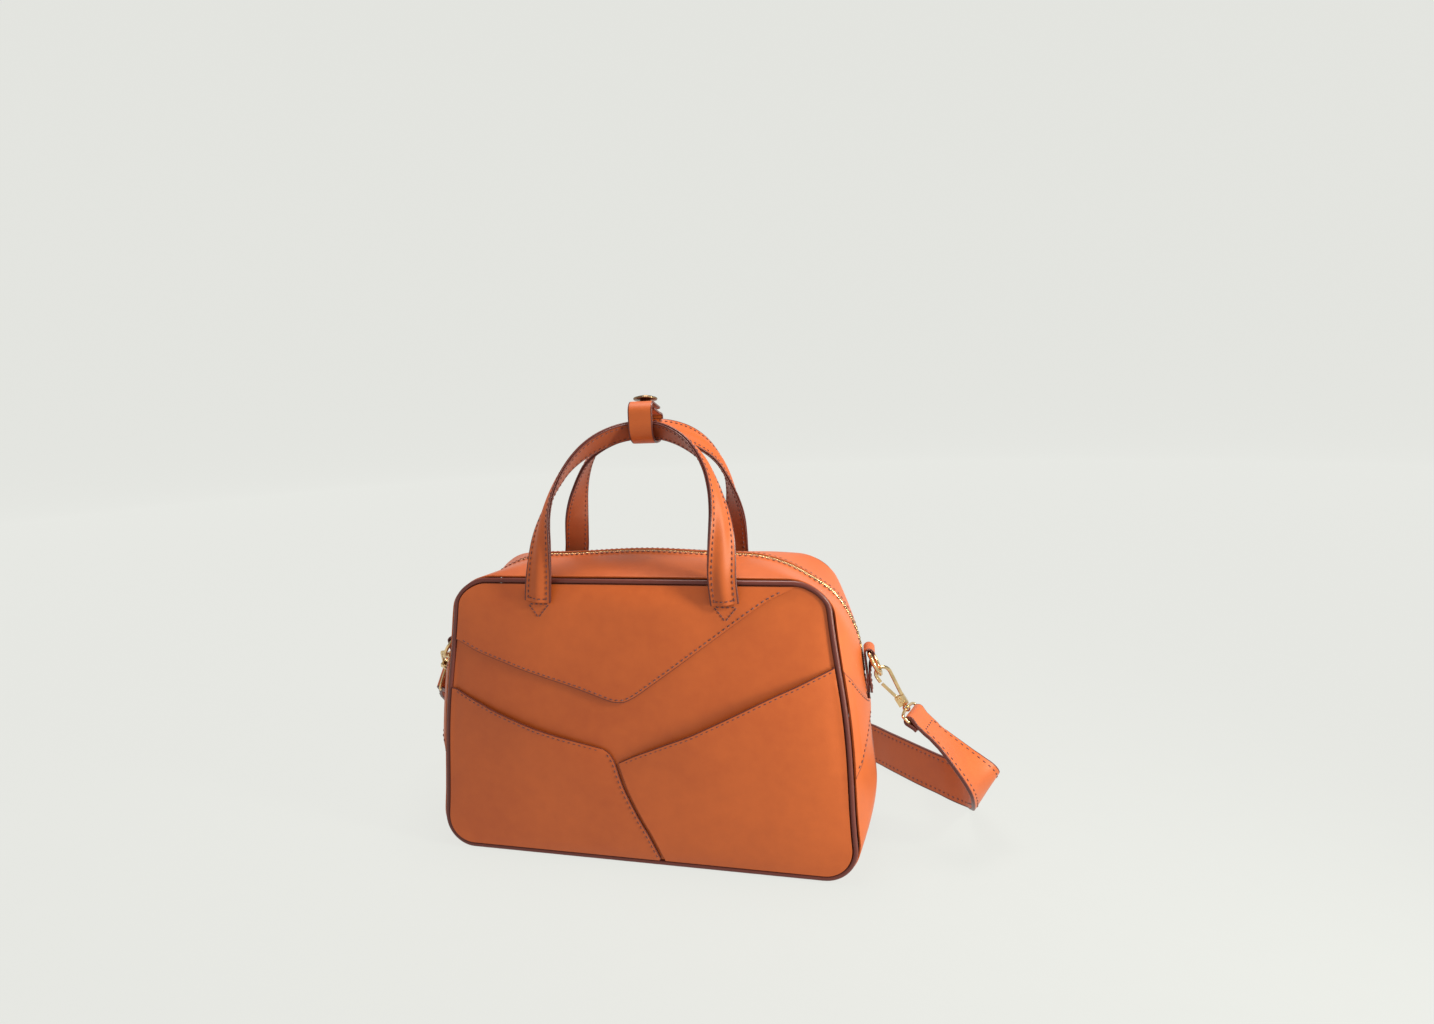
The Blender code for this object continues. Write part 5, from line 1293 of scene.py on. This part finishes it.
def make_pull_tab():
    angle = math.radians(180 - SLIDER_REST_DEGREES)
    radial = Vector((math.cos(angle), 0.0, math.sin(angle)))
    down = Vector((-math.sin(angle), 0.0, math.cos(angle)))
    if down.z > 0:
        down.negate()
    centre = Vector((-MIDDLE.high[0], 0.0, MIDDLE.high[1]))
    place = frame_matrix(centre, down, radial)
    roof = MIDDLE_TOP_RADIUS - CHAIN_BOTTOM + CHAIN_HEIGHT + SLIDER_CLEARANCE + SLIDER_WALL
    pivot = place @ Vector((0.0, roof + BRIDGE_HEIGHT / 2, 0.0))
    lean = math.radians(PULL_LEAN_DEGREES)
    along = down * math.cos(lean) - radial * math.sin(lean)
    upward = radial * math.cos(lean) + down * math.sin(lean)
    pull = frame_matrix(pivot, along, upward)
    start = PULL_EYE + PULL_PLATE - PULL_BAR / 2
    middle = PULL_BAR / 2 + GAP + PULL_TAB_THICKNESS / 2
    spots = [(start + PULL_TAB_LENGTH * share, middle) for share in shares(1.0, 0.0, 10)]
    for share in shares(0.0, 1.0, 14)[1:-1]:
        turn = math.pi / 2 + math.pi * share
        spots.append((start + middle * math.cos(turn), middle * math.sin(turn)))
    spots += [(start + PULL_TAB_LENGTH * share, -middle) for share in shares(0.0, 1.0, 10)]
    frames = []
    for index, (x, y) in enumerate(spots):
        heading = heading_at(spots, index)
        up = Vector((-heading.y, heading.x, 0.0))
        narrow = min(1.0, max(0.0, (x - start - PULL_BAR) / PULL_BAR))
        width = 1 - 2 * (PULL_BAR + GAP) / PULL_TAB_WIDTH * (1 - narrow)
        frames.append((pull @ Vector((x, y, 0.0)), pull.to_3x3() @ Vector((0, 0, 1)) * width,
                       pull.to_3x3() @ up))
    strip("zip_pull_tab_leather", frames, flat_section(PULL_TAB_WIDTH, PULL_TAB_THICKNESS),
          HANDLE_LOOKS, ("zip_pull_tab",), "zip_pull")


# Bands of leather

def flat_section(width, thickness, columns=8):
    """A rounded rectangle: (across, up) points with the finish of each side that follows."""
    corner = min(thickness * SECTION_CORNER_SHARE, SECTION_CORNER_MOST)
    half, wall = width / 2, thickness / 2
    flat, side = half - corner, wall - corner
    lap = 1 - EDGE_ROW / half
    face = [-1.0, -lap] + shares(-1.0, 1.0, columns)[1:-1] + [lap, 1.0]
    section = [(share * flat, wall, int(abs(share) == 1.0)) for share in face]
    for share in (0.33, 0.67, 1.0):
        angle = math.pi / 2 * (1 - share)
        section.append((flat + corner * math.cos(angle), side + corner * math.sin(angle), 1))
    section.append((half, -side, 1))
    for share in (0.33, 0.67):
        angle = -math.pi / 2 * share
        section.append((flat + corner * math.cos(angle), -side + corner * math.sin(angle), 1))
    return mark_edges(section + [(-a, -b, mark) for a, b, mark in section])


def mark_edges(section):
    """Gives the side after each point its finish: edge paint where either end lies on an edge."""
    return [(a, b, mark or following[2])
            for (a, b, mark), following in zip(section, section[1:] + section[:1])]


def strip(name, frames, section, looks, replaces, body="root", end_round=BAND_END_ROUND):
    """A section carried along frames of (point, across, up), closed at both ends."""
    vertices = [point + across * a + up * b
                for point, across, up in frames for a, b, mark in section]
    faces = ring_faces(len(frames), len(section))
    indices = [mark for a, b, mark in section] * (len(frames) - 1) + [1, 1]
    mesh = mesh_from(name, vertices, faces, indices, closed=True)
    piece = place_piece(name, mesh, looks, replaces, body)
    round_edges(piece, "round_end", end_round, BAND_END_DEGREES)


def band_seams(frames, offset, height, skip, both_sides=False):
    """Stitch lines along both edges of a band, on its face and, if asked, on its back too."""
    return [[(point + across * sign * offset + up * height * face, up * face)
             for point, across, up in frames[skip:len(frames) - skip]]
            for face in ((1, -1) if both_sides else (1,)) for sign in (-1, 1)]


# Handles

def handle_frames(facing, steps=5):
    """Frames of one whole arch; up points out of the leather's good side."""
    face = OVERLAY_FACE if facing < 0 else PANEL_FACE
    foot_depth = half_depth(HANDLE_FOOT_HEIGHT) + wall_puff(HANDLE_HALF_SPREAD, HANDLE_FOOT_HEIGHT)
    foot_depth += face + LAYER_GAP + HANDLE_STRAP
    half = []
    for (x, z, y), turn in zip(HANDLE_PATH_SHARES, HANDLE_TURN_DEGREES):
        depth = HANDLE_TOP_OFFSET + (foot_depth - HANDLE_TOP_OFFSET) * y
        half.append((x * HANDLE_HALF_SPREAD, facing * depth, z, turn))
    rows = half + [(-x, y, z, turn) for x, y, z, turn in reversed(half[:-1])]
    line = smooth_line(rows, steps)
    shift = HANDLE_BACK_SHIFT if facing > 0 else 0.0
    points = [Vector((x + shift * (1 - z) + HANDLE_LEAN * max(z, 0.0) ** 1.5 + HANDLE_SHIFT, y,
                      HANDLE_FOOT_HEIGHT + z * ARCH_RISE)) for x, y, z, turn in line]
    frames = []
    for index, point in enumerate(points):
        heading = heading_at(points, index)
        outward = Vector((heading.z, 0.0, -heading.x)).normalized()
        front = heading.cross(outward).normalized()
        if front.y * facing < 0:
            front.negate()
        outward = (outward - heading * outward.dot(heading)).normalized()
        angle = math.radians(line[index][3])
        up = (front * math.cos(angle) + outward * math.sin(angle)).normalized()
        frames.append((point, heading.cross(up).normalized(), up))
    return frames


def handle_height(across):
    """Height of the padded face over its seam, at a distance from the middle."""
    share = min(1.0, abs(across) / HANDLE_CORE_HALF)
    swell = 0.5 + 0.5 * math.cos(math.pi * share)
    return between(HANDLE_EDGE, HANDLE_CROWN, swell ** HANDLE_CROWN_POWER)


def handle_section():
    """The outer strap: a padded face between flat margins, and painted edges."""
    half = HANDLE_WIDTH / 2
    corner = HANDLE_CORNER
    flat = half - corner
    low = GAP / 2
    lap = 1 - EDGE_ROW / half
    face = [-1.0, -lap] + shares(-1.0, 1.0, 26)[1:-1] + [lap, 1.0]
    right = []
    for share in (0.4, 0.8):
        angle = math.pi / 2 * (1 - share)
        right.append((flat + corner * math.cos(angle),
                      HANDLE_EDGE - corner + corner * math.sin(angle), 1))
    right += [(half, low + corner / 2, 1), (half - corner / 2, low, 1)]
    return mark_edges([(share * flat, handle_height(share * flat), int(abs(share) == 1.0))
                       for share in face]
                      + right + [(-a, b, mark) for a, b, mark in reversed(right)])


def make_handles():
    lining = [(a, b - HANDLE_STRAP / 2 - GAP / 4, mark)
              for a, b, mark in flat_section(HANDLE_WIDTH, HANDLE_STRAP - GAP / 2, 10)]
    outer = handle_section()
    for name, facing in (("front_handle", -1), ("back_handle", 1)):
        frames = handle_frames(facing)
        strip(name + "_strap", frames, outer, HANDLE_LOOKS, (name, name + "_core"),
              end_round=WIDE_END_ROUND)
        # The underside takes the darker leather, with painted shade in its colour
        strip(name + "_under", frames, lining, ("underside_painted_shade", "edge"), (name + "_lining",))
        offset = HANDLE_WIDTH / 2 - HANDLE_SEAM_INSET
        reach = HANDLE_CROSS_SHARE * offset
        lines = band_seams(frames, offset, handle_height(offset), 1)
        for sign in (-1, 1):
            lines.append([(point + across * sign * offset - up * HANDLE_STRAP, -up)
                          for point, across, up in frames[1:-1]])
        for (point, across, up), inner in ((frames[0], frames[1]), (frames[-1], frames[-2])):
            climb = (inner[0] - point).normalized() * HANDLE_SEAM_INSET
            lines.append([(point + climb + across * a + up * handle_height(a), up)
                          for a in shares(-reach, reach, 24)])
        sew(name + "_stitches", lines)
        make_foot_triangles(name, facing)


def make_foot_triangles(name, facing):
    """The stitched point under each foot, through the panel into the tongue behind it."""
    face = OVERLAY_FACE if facing < 0 else PANEL_FACE
    shift = HANDLE_SHIFT + (HANDLE_BACK_SHIFT if facing > 0 else 0.0)
    half = HANDLE_WIDTH / 2 - SEAM_INSET
    top = HANDLE_FOOT_HEIGHT - TRIANGLE_DROP
    lines = []
    for side in (-1, 1):
        centre = side * HANDLE_HALF_SPREAD + shift
        corners = ((centre - half, top), (centre + half, top), (centre, top - TRIANGLE_HEIGHT))
        for first, second in ((0, 1), (1, 2), (2, 0)):
            edge = resample([corners[first], corners[second]], 20)
            lines.append(wall_seam(edge[1:-1], face, facing))
    sew(name + "_foot_stitches", lines, pitch=TRIANGLE_PITCH)


# Keeper and its snap

def band_frames(line):
    """Frames of a band that bends in one plane: across is X, up points out of the loop."""
    frames = []
    for index, point in enumerate(line):
        heading = heading_at(line, index)
        across = Vector((1, 0, 0))
        frames.append((point, across, heading.cross(across).normalized()))
    return frames


def turned(name, profile, place, look, node, body):
    """A turned piece: (radius, height) points round the X axis of place."""
    vertices = [place @ Vector((height, radius * x, radius * y))
                for radius, height in profile for x, y in circle(TURNED_SIDES)]
    mesh = mesh_from(name, vertices, ring_faces(len(profile), TURNED_SIDES), closed=True)
    place_piece(name, mesh, (look,), (node,), body)


def handle_low_point():
    frames = handle_frames(-1, 1)
    middle = len(frames) // 2
    half = HANDLE_WIDTH / 2
    return min((point + across * a - up * HANDLE_STRAP).z
               for point, across, up in frames[middle - 1:middle + 2] for a in (-half, half))


def make_keeper():
    wall = KEEPER_LEATHER / 2
    low = handle_low_point() - KEEPER_CLEARANCE - wall
    rise = KEEPER_TOP - wall - low
    half = KEEPER_HALF_DEPTH - wall
    slope = math.radians(KEEPER_SLOPE_DEGREES)
    along = Vector((0.0, math.cos(slope), -math.sin(slope)))
    normal = Vector((0.0, math.sin(slope), math.cos(slope)))

    def spot(pair):
        return Vector((KEEPER_CENTRE, pair[0] * half, low + pair[1] * rise))

    fold = spot(KEEPER_FRONT_SHARES[0])
    drop = KEEPER_LEATHER + SNAP_SOCKET_HEIGHT + 2 * GAP
    under = fold - normal * drop
    line = [fold] + [spot(pair) for pair in KEEPER_FRONT_SHARES + KEEPER_BACK_SHARES]
    line[1] = fold - along * KEEPER_LEATHER
    start = SNAP_ALONG + KEEPER_RETURN / 2
    line += [under + along * (start - KEEPER_RETURN * share) for share in (0.0, 0.3, 0.6, 1.0)]
    fine = [Vector(point) for point in smooth_line(line, 5)]
    section = flat_section(KEEPER_WIDTH, KEEPER_LEATHER)
    strip("keeper_band_leather", band_frames(fine), section, HANDLE_LOOKS, ("keeper_band",),
          end_round=KEEPER_END_ROUND)
    steps = shares(0.0, 1.0, 16)
    flap_line = [fold + along * between(GAP, KEEPER_FLAP_LENGTH, share) for share in steps]
    corner = KEEPER_WIDTH * FLAP_CORNER_SHARE
    frames = []
    for step, (point, across, up) in zip(steps, band_frames(flap_line)):
        share = max(0.0, 1 - (1 - step) * KEEPER_FLAP_LENGTH / corner)
        narrow = 1 - (1 - math.sqrt(1 - share * share)) * 2 * corner / KEEPER_WIDTH
        frames.append((point, across * max(narrow, FLAP_END_SHARE), up))
    strip("keeper_flap_leather", frames, section, HANDLE_LOOKS, ("keeper_flap",), "keeper_flap",
          KEEPER_END_ROUND)
    up = frame_matrix(fold + along * SNAP_ALONG, normal, along)
    make_snap_cap(up @ Matrix.Translation((wall, 0.0, 0.0)))
    polish("keeper_snap_socket")
    polish("keeper_snap_stud")


def make_snap_cap(place):
    """A domed cap with a rolled rim on a collar."""
    low = CAP_STAND
    rim = SNAP_RIM_RADIUS
    under, groove, dome = (SNAP_CAP_RADIUS * share for share in SNAP_CAP_SHARES)
    profile = [(SNAP_POST_RADIUS, GAP - KEEPER_LEATHER), *SNAP_COLLAR,
               (SNAP_COLLAR[-1][0], low - SNAP_STEP), (under, low)]
    for share in shares(-1.0, 1.0, 8):
        angle = math.pi / 2 * share
        profile.append((SNAP_CAP_RADIUS - rim + rim * math.cos(angle),
                        low + rim + rim * math.sin(angle)))
    foot = low + 2 * rim
    profile += [(under, foot - 2 * SNAP_STEP), (groove, foot - SNAP_STEP)]
    for share in shares(0.0, 1.0, 10):
        angle = math.pi / 2 * share
        profile.append((max(dome * math.cos(angle), SNAP_STEP),
                        foot + (SNAP_CAP_HEIGHT - 2 * rim) * math.sin(angle)))
    turned("keeper_snap_cap_dome", profile, place, "bronze", "keeper_snap_cap", "keeper_flap")


# Tabs, rings and hooks

def side_skin(z):
    """Half width of the middle outline at a height over its base's corner."""
    low, high = MIDDLE.point("side", 0.0), MIDDLE.point("side", 1.0)
    if z <= high[1]:
        return between(low[0], high[0], (z - low[1]) / (high[1] - low[1]))
    rise = z - MIDDLE.high[1]
    return MIDDLE.high[0] + math.sqrt(MIDDLE_TOP_RADIUS ** 2 - rise ** 2)


def bar_spot():
    x = side_skin(TAB_BAR_HEIGHT) + TAB_STAND + TAB_LEATHER + TAB_FOLD_RADIUS
    return Vector((x, 0.0, TAB_BAR_HEIGHT))


def make_tab(side, side_name):
    bar = bar_spot()
    middle = TAB_LEATHER / 2
    loop = TAB_FOLD_RADIUS + middle
    heights = shares(TAB_BOTTOM, bar.z, 5)
    inner = [(side_skin(z) + TAB_STAND + middle, z) for z in heights]
    turn = [(bar.x - loop * math.cos(math.pi * share), bar.z + loop * math.sin(math.pi * share))
            for share in shares(0.0, 1.0, 6)[1:-1]]
    close = TAB_STAND + middle + TAB_LEATHER + GAP
    wide = bar.x + loop - side_skin(bar.z)
    outer = []
    for index, z in enumerate(reversed(heights)):
        squeeze = max(0.0, 1 - index / (len(heights) - 1) / TAB_CLOSING_SHARE)
        outer.append((side_skin(z) + between(close, wide, squeeze), z))
    spots = smooth_line(inner + turn + outer, 5)
    frames = []
    taper = TAB_WIDTH * TAB_TAPER_SHARE
    for index, spot in enumerate(spots):
        heading = heading_at(spots, index)
        share = min(1.0, (spot[1] - TAB_BOTTOM) / taper)
        narrow = TAB_TIP_SHARE + (1 - TAB_TIP_SHARE) * share
        frames.append((Vector((spot[0] * side, 0.0, spot[1])), Vector((0, 1, 0)) * narrow,
                       Vector((heading[1] * side, 0.0, -heading[0]))))
    section = flat_section(TAB_WIDTH, TAB_LEATHER)
    strip(side_name + "_tab_leather", frames, section, HANDLE_LOOKS, (side_name + "_tab",),
          end_round=TAB_END_ROUND)
    lines = []
    for sign in (-1, 1):
        line = []
        for point, across, up in frames[-TAB_SEAM_ROWS:-2]:
            width = across.length * TAB_WIDTH / 2 - SEAM_INSET
            side_up = up if up.x * side > 0 else -up
            line.append((point + Vector((0, sign, 0)) * width + side_up * middle, side_up))
        lines.append(line)
    sew(side_name + "_tab_stitches", lines)


def ring_line(bar_half, half_width, reach, corner, fullness, count):
    """A straight bar along Y at X = 0 and an arch out along X, squarer with less fullness."""
    points = [(0.0, bar_half * share, 0.0) for share in shares(-1.0, 1.0, 8)]
    arch = reach - corner
    for share in shares(0.0, 1.0, count):
        angle = math.pi / 2 * (1 - 2 * share)
        x = corner + arch * max(0.0, math.cos(angle)) ** fullness
        points.append((x, half_width * math.sin(angle), 0.0))
    return points


def placed(points, matrix):
    return [matrix @ Vector(point) for point in points]


def side_axes(side, degrees):
    angle = math.radians(degrees)
    return Vector((side * math.sin(angle), 0.0, -math.cos(angle)))


def make_side_ring(side, side_name, degrees):
    bar = bar_spot()
    origin = Vector((bar.x * side, 0.0, bar.z))
    hang = side_axes(side, degrees)
    place = frame_matrix(origin, hang, (0, 1, 0))
    line = ring_line(TAB_WIDTH / 2 + 2 * GAP, RING_HALF_WIDTH, RING_LENGTH,
                     RING_LENGTH - RING_HALF_WIDTH, 1.0, 40)
    node = side_name + "_d_ring"
    tube(node + "_wire", placed(line, place), RING_RADIUS, "gold", node, node)
    return origin + hang * RING_LENGTH


def hook_frame(side, axis_shares, apex):
    """Frame of a hook whose jaw holds a ring at apex: X runs to the jaw, Y away from the bag."""
    axis = Vector(axis_shares).normalized()
    normal = (Vector((0, 1, 0)) - axis * axis.y).normalized()
    away = normal.cross(axis)
    if away.x * side < 0:
        away.negate()
    place = frame_matrix((0, 0, 0), axis, away)
    slant = math.sqrt(1 - axis.y ** 2)
    seat = max(0.0, HOOK_JAW_RADIUS - (HOOK_WIRE + RING_RADIUS + 2 * GAP) / slant)
    turn = math.radians(45)
    held = Vector((HOOK_JAW_CENTRE + seat * math.cos(turn),
                   -HOOK_JAW_SHIFT - seat * math.sin(turn), 0.0))
    place.translation = apex - place.to_3x3() @ held
    return place


def make_strap_ring(side_name, held, ring_axis, across):
    across = (across - ring_axis * across.dot(ring_axis)).normalized()
    origin = held - ring_axis * STRAP_RING_REACH
    bar_half = STRAP_WIDTH / 2 + GAP
    line = ring_line(bar_half, bar_half + STRAP_RING_RADIUS, STRAP_RING_REACH, STRAP_RING_RADIUS,
                     STRAP_RING_FULLNESS, 60)
    line = resample([list(point) for point in line] + [list(line[0])], 140)[:-1]
    node = side_name + "_strap_ring"
    tube(node + "_wire", placed(line, frame_matrix(origin, ring_axis, across)),
         STRAP_RING_RADIUS, "gold", node)
    return origin, ring_axis, across


def make_side(side, side_name, ring_degrees, hook_axis_shares, ring_axis_shares, across_shares):
    make_tab(side, side_name)
    apex = make_side_ring(side, side_name, ring_degrees)
    place = hook_frame(side, hook_axis_shares, apex)
    for part in ("_hook", "_hook_gate", "_hook_rivet", "_hook_swivel"):
        polish(side_name + part)
    axis = place.to_3x3() @ Vector((1, 0, 0))
    held = place.translation + axis * STRAP_RING_REACH
    return make_strap_ring(side_name, held, Vector(ring_axis_shares).normalized(),
                           Vector(across_shares))


# Shoulder strap

def strap_end(origin, axis, across):
    """Rows of the sewn end round a ring's bar: its tail, the turn and the start of the band."""
    turn = STRAP_RING_RADIUS + GAP + STRAP_THICKNESS / 2
    close = STRAP_THICKNESS / 2 + GAP / 2
    normal = axis.cross(across).normalized()
    if normal.x * origin.x > 0:
        normal.negate()
    rows = [(-between(TAIL_SEEN, turn * 2, share), close) for share in shares(0.0, 1.0, 6)]
    for share in shares(0.0, 1.0, 16):
        rows.append((turn * math.sin(math.pi * share), turn * math.cos(math.pi * share)))
    rows += [(-between(turn * 2, STRAP_TAIL, share), -close) for share in shares(0.0, 1.0, 6)]
    return [(origin + axis * a + normal * b, across) for a, b in rows]


def route_point(place_shares):
    x, y, z = place_shares
    height = STRAP_WIDTH / 2 + GAP if z is None else z * STRAP_SWING
    return Vector((x * STRAP_SWING, y * STRAP_SWING, height))


def smooth_route(route):
    result = []
    for index in range(len(route) - 1):
        window = [route[max(index - 1, 0)], route[index], route[index + 1],
                  route[min(index + 2, len(route) - 1)]]
        steps = max(1, round((route[index + 1][0] - route[index][0]).length / STRAP_STEP))
        for step in range(steps):
            result.append(tuple(curve_value(*(row[part] for row in window), step / steps)
                                for part in range(2)))
    result.append(route[-1])
    return result


def make_strap(ends):
    head = strap_end(*ends["right"])
    tail = strap_end(*ends["left"])
    route = [head[-4], head[-1]]
    route += [(route_point(spot), Vector(direction)) for spot, direction in STRAP_ROUTE_SHARES]
    route += [tail[-1], tail[-4]]
    rows = head[:-4] + smooth_route(route) + tail[-5::-1]
    points = [point for point, direction in rows]
    frames = []
    for index, (point, direction) in enumerate(rows):
        heading = heading_at(points, index)
        across = (direction - heading * direction.dot(heading)).normalized()
        frames.append((point, across, heading.cross(across)))
    strip("shoulder_strap_leather", frames, flat_section(STRAP_WIDTH, STRAP_THICKNESS, 12),
          ("strap", "edge"), ("shoulder_strap",), end_round=WIDE_END_ROUND)
    offset = STRAP_WIDTH / 2 - STRAP_SEAM_INSET
    start = STRAP_SEAM_START
    lines = band_seams(frames, offset, STRAP_THICKNESS / 2, start, True)
    for point, across, up in (frames[start], frames[-1 - start]):
        for face in (1, -1):
            height = face * STRAP_THICKNESS / 2
            lines.append([(point + across * offset * share + up * height, up * face)
                          for share in shares(-STRAP_CROSS_SHARE, STRAP_CROSS_SHARE, 24)])
    sew("shoulder_strap_stitches", lines, pitch=STRAP_PITCH)


def finish_board():
    """The stiff board stays as packed, with its own material."""
    for slot in frame["nodes"]["base_board"].material_slots:
        slot.material = LOOKS["board"]


# Stage, light and camera

def make_stage():
    """A pale floor that rises all round into a low wall."""
    flat = STAGE_RADIUS - STAGE_SWEEP
    profile = [(radius, 0.0) for radius in (*STAGE_FLAT_RADII, flat)]
    for share in shares(0.0, 1.0, 12)[1:]:
        angle = math.pi / 2 * share
        profile.append((flat + STAGE_SWEEP * math.sin(angle),
                        STAGE_SWEEP - STAGE_SWEEP * math.cos(angle)))
    profile.append((STAGE_RADIUS, STAGE_RISE))
    vertices = [(reach * x, reach * y, height - STAGE_DROP)
                for reach, height in profile for x, y in circle(STAGE_SIDES)]
    faces = [face[::-1] for face in ring_faces(len(profile), STAGE_SIDES)[:-1]]
    mesh = mesh_from("studio_floor", vertices, faces)
    floor = bpy.data.objects.new("studio_floor", mesh)
    bpy.context.scene.collection.objects.link(floor)
    material, shader = new_material("studio_paper", PAPER, 0.9)
    fibres = noise_node(material, object_place(material), 40.0)
    link(material, ramp(material, fibres, PAPER_RANGE), shader.inputs["Base Color"])
    set_shader(shader, Emission_Color=(*PAPER_GLOW, 1.0), Emission_Strength=PAPER_GLOW_STRENGTH)
    mesh.materials.append(material)


def area_light(name, place, target, size, power, opening, colour):
    data = bpy.data.lights.new(name, "AREA")
    data.shape = "DISK"
    data.size = size
    data.spread = math.radians(opening)
    data.energy = power
    data.color = colour
    lamp = bpy.data.objects.new(name, data)
    bpy.context.scene.collection.objects.link(lamp)
    lamp.location = place
    lamp.visible_camera = False
    lamp.rotation_euler = (Vector(target) - Vector(place)).to_track_quat("-Z", "Y").to_euler()


def make_light():
    world = bpy.data.worlds.new("studio")
    bpy.context.scene.world = world
    world.use_nodes = True
    background = world.node_tree.nodes["Background"]
    background.inputs["Color"].default_value = (*SKY, 1.0)
    background.inputs["Strength"].default_value = SKY_STRENGTH
    for light in LIGHTS:
        area_light(*light)


def make_camera():
    """The camera fitted to the photo, with its centre off the middle of the frame."""
    width, height = IMAGE_PIXELS
    yaw, pitch, roll = (math.radians(angle) for angle in CAMERA_DEGREES)
    forward = Vector((math.sin(yaw) * math.cos(pitch), math.cos(yaw) * math.cos(pitch),
                      math.sin(pitch)))
    level = forward.cross(Vector((0, 0, 1))).normalized()
    upright = level.cross(forward)
    right = level * math.cos(roll) + upright * math.sin(roll)
    up = upright * math.cos(roll) - level * math.sin(roll)
    data = bpy.data.cameras.new("camera")
    data.sensor_width = SENSOR_WIDTH
    data.lens = CAMERA_FOCAL_PIXELS / width * SENSOR_WIDTH
    data.shift_x = (width / 2 - CAMERA_CENTRE[0]) / width
    data.shift_y = (CAMERA_CENTRE[1] - height / 2) / width
    camera = bpy.data.objects.new("camera", data)
    bpy.context.scene.collection.objects.link(camera)
    matrix = Matrix((right, up, -forward)).transposed().to_4x4()
    matrix.translation = Vector(CAMERA_PLACE)
    camera.matrix_world = matrix
    bpy.context.scene.camera = camera


make_camera()
make_stage()
make_light()
make_walls()
make_upper_panel()
make_left_pocket()
make_right_pocket()
make_inner_pocket()
make_pipings()
make_gussets()
make_side_patches()
make_zip()
polish("zip_slider")
polish("zip_pull")
make_pull_tab()
make_handles()
make_keeper()
strap_ends = {
    "right": make_side(1, "right", RIGHT_RING_DEGREES, RIGHT_HOOK_AXIS_SHARES,
                       RIGHT_RING_AXIS_SHARES, RIGHT_STRAP_ACROSS_SHARES),
    "left": make_side(-1, "left", LEFT_RING_DEGREES, LEFT_HOOK_AXIS_SHARES,
                      LEFT_RING_AXIS_SHARES, LEFT_STRAP_ACROSS_SHARES),
}
make_strap(strap_ends)
finish_board()
bpy.context.scene.view_settings.view_transform = "Standard"
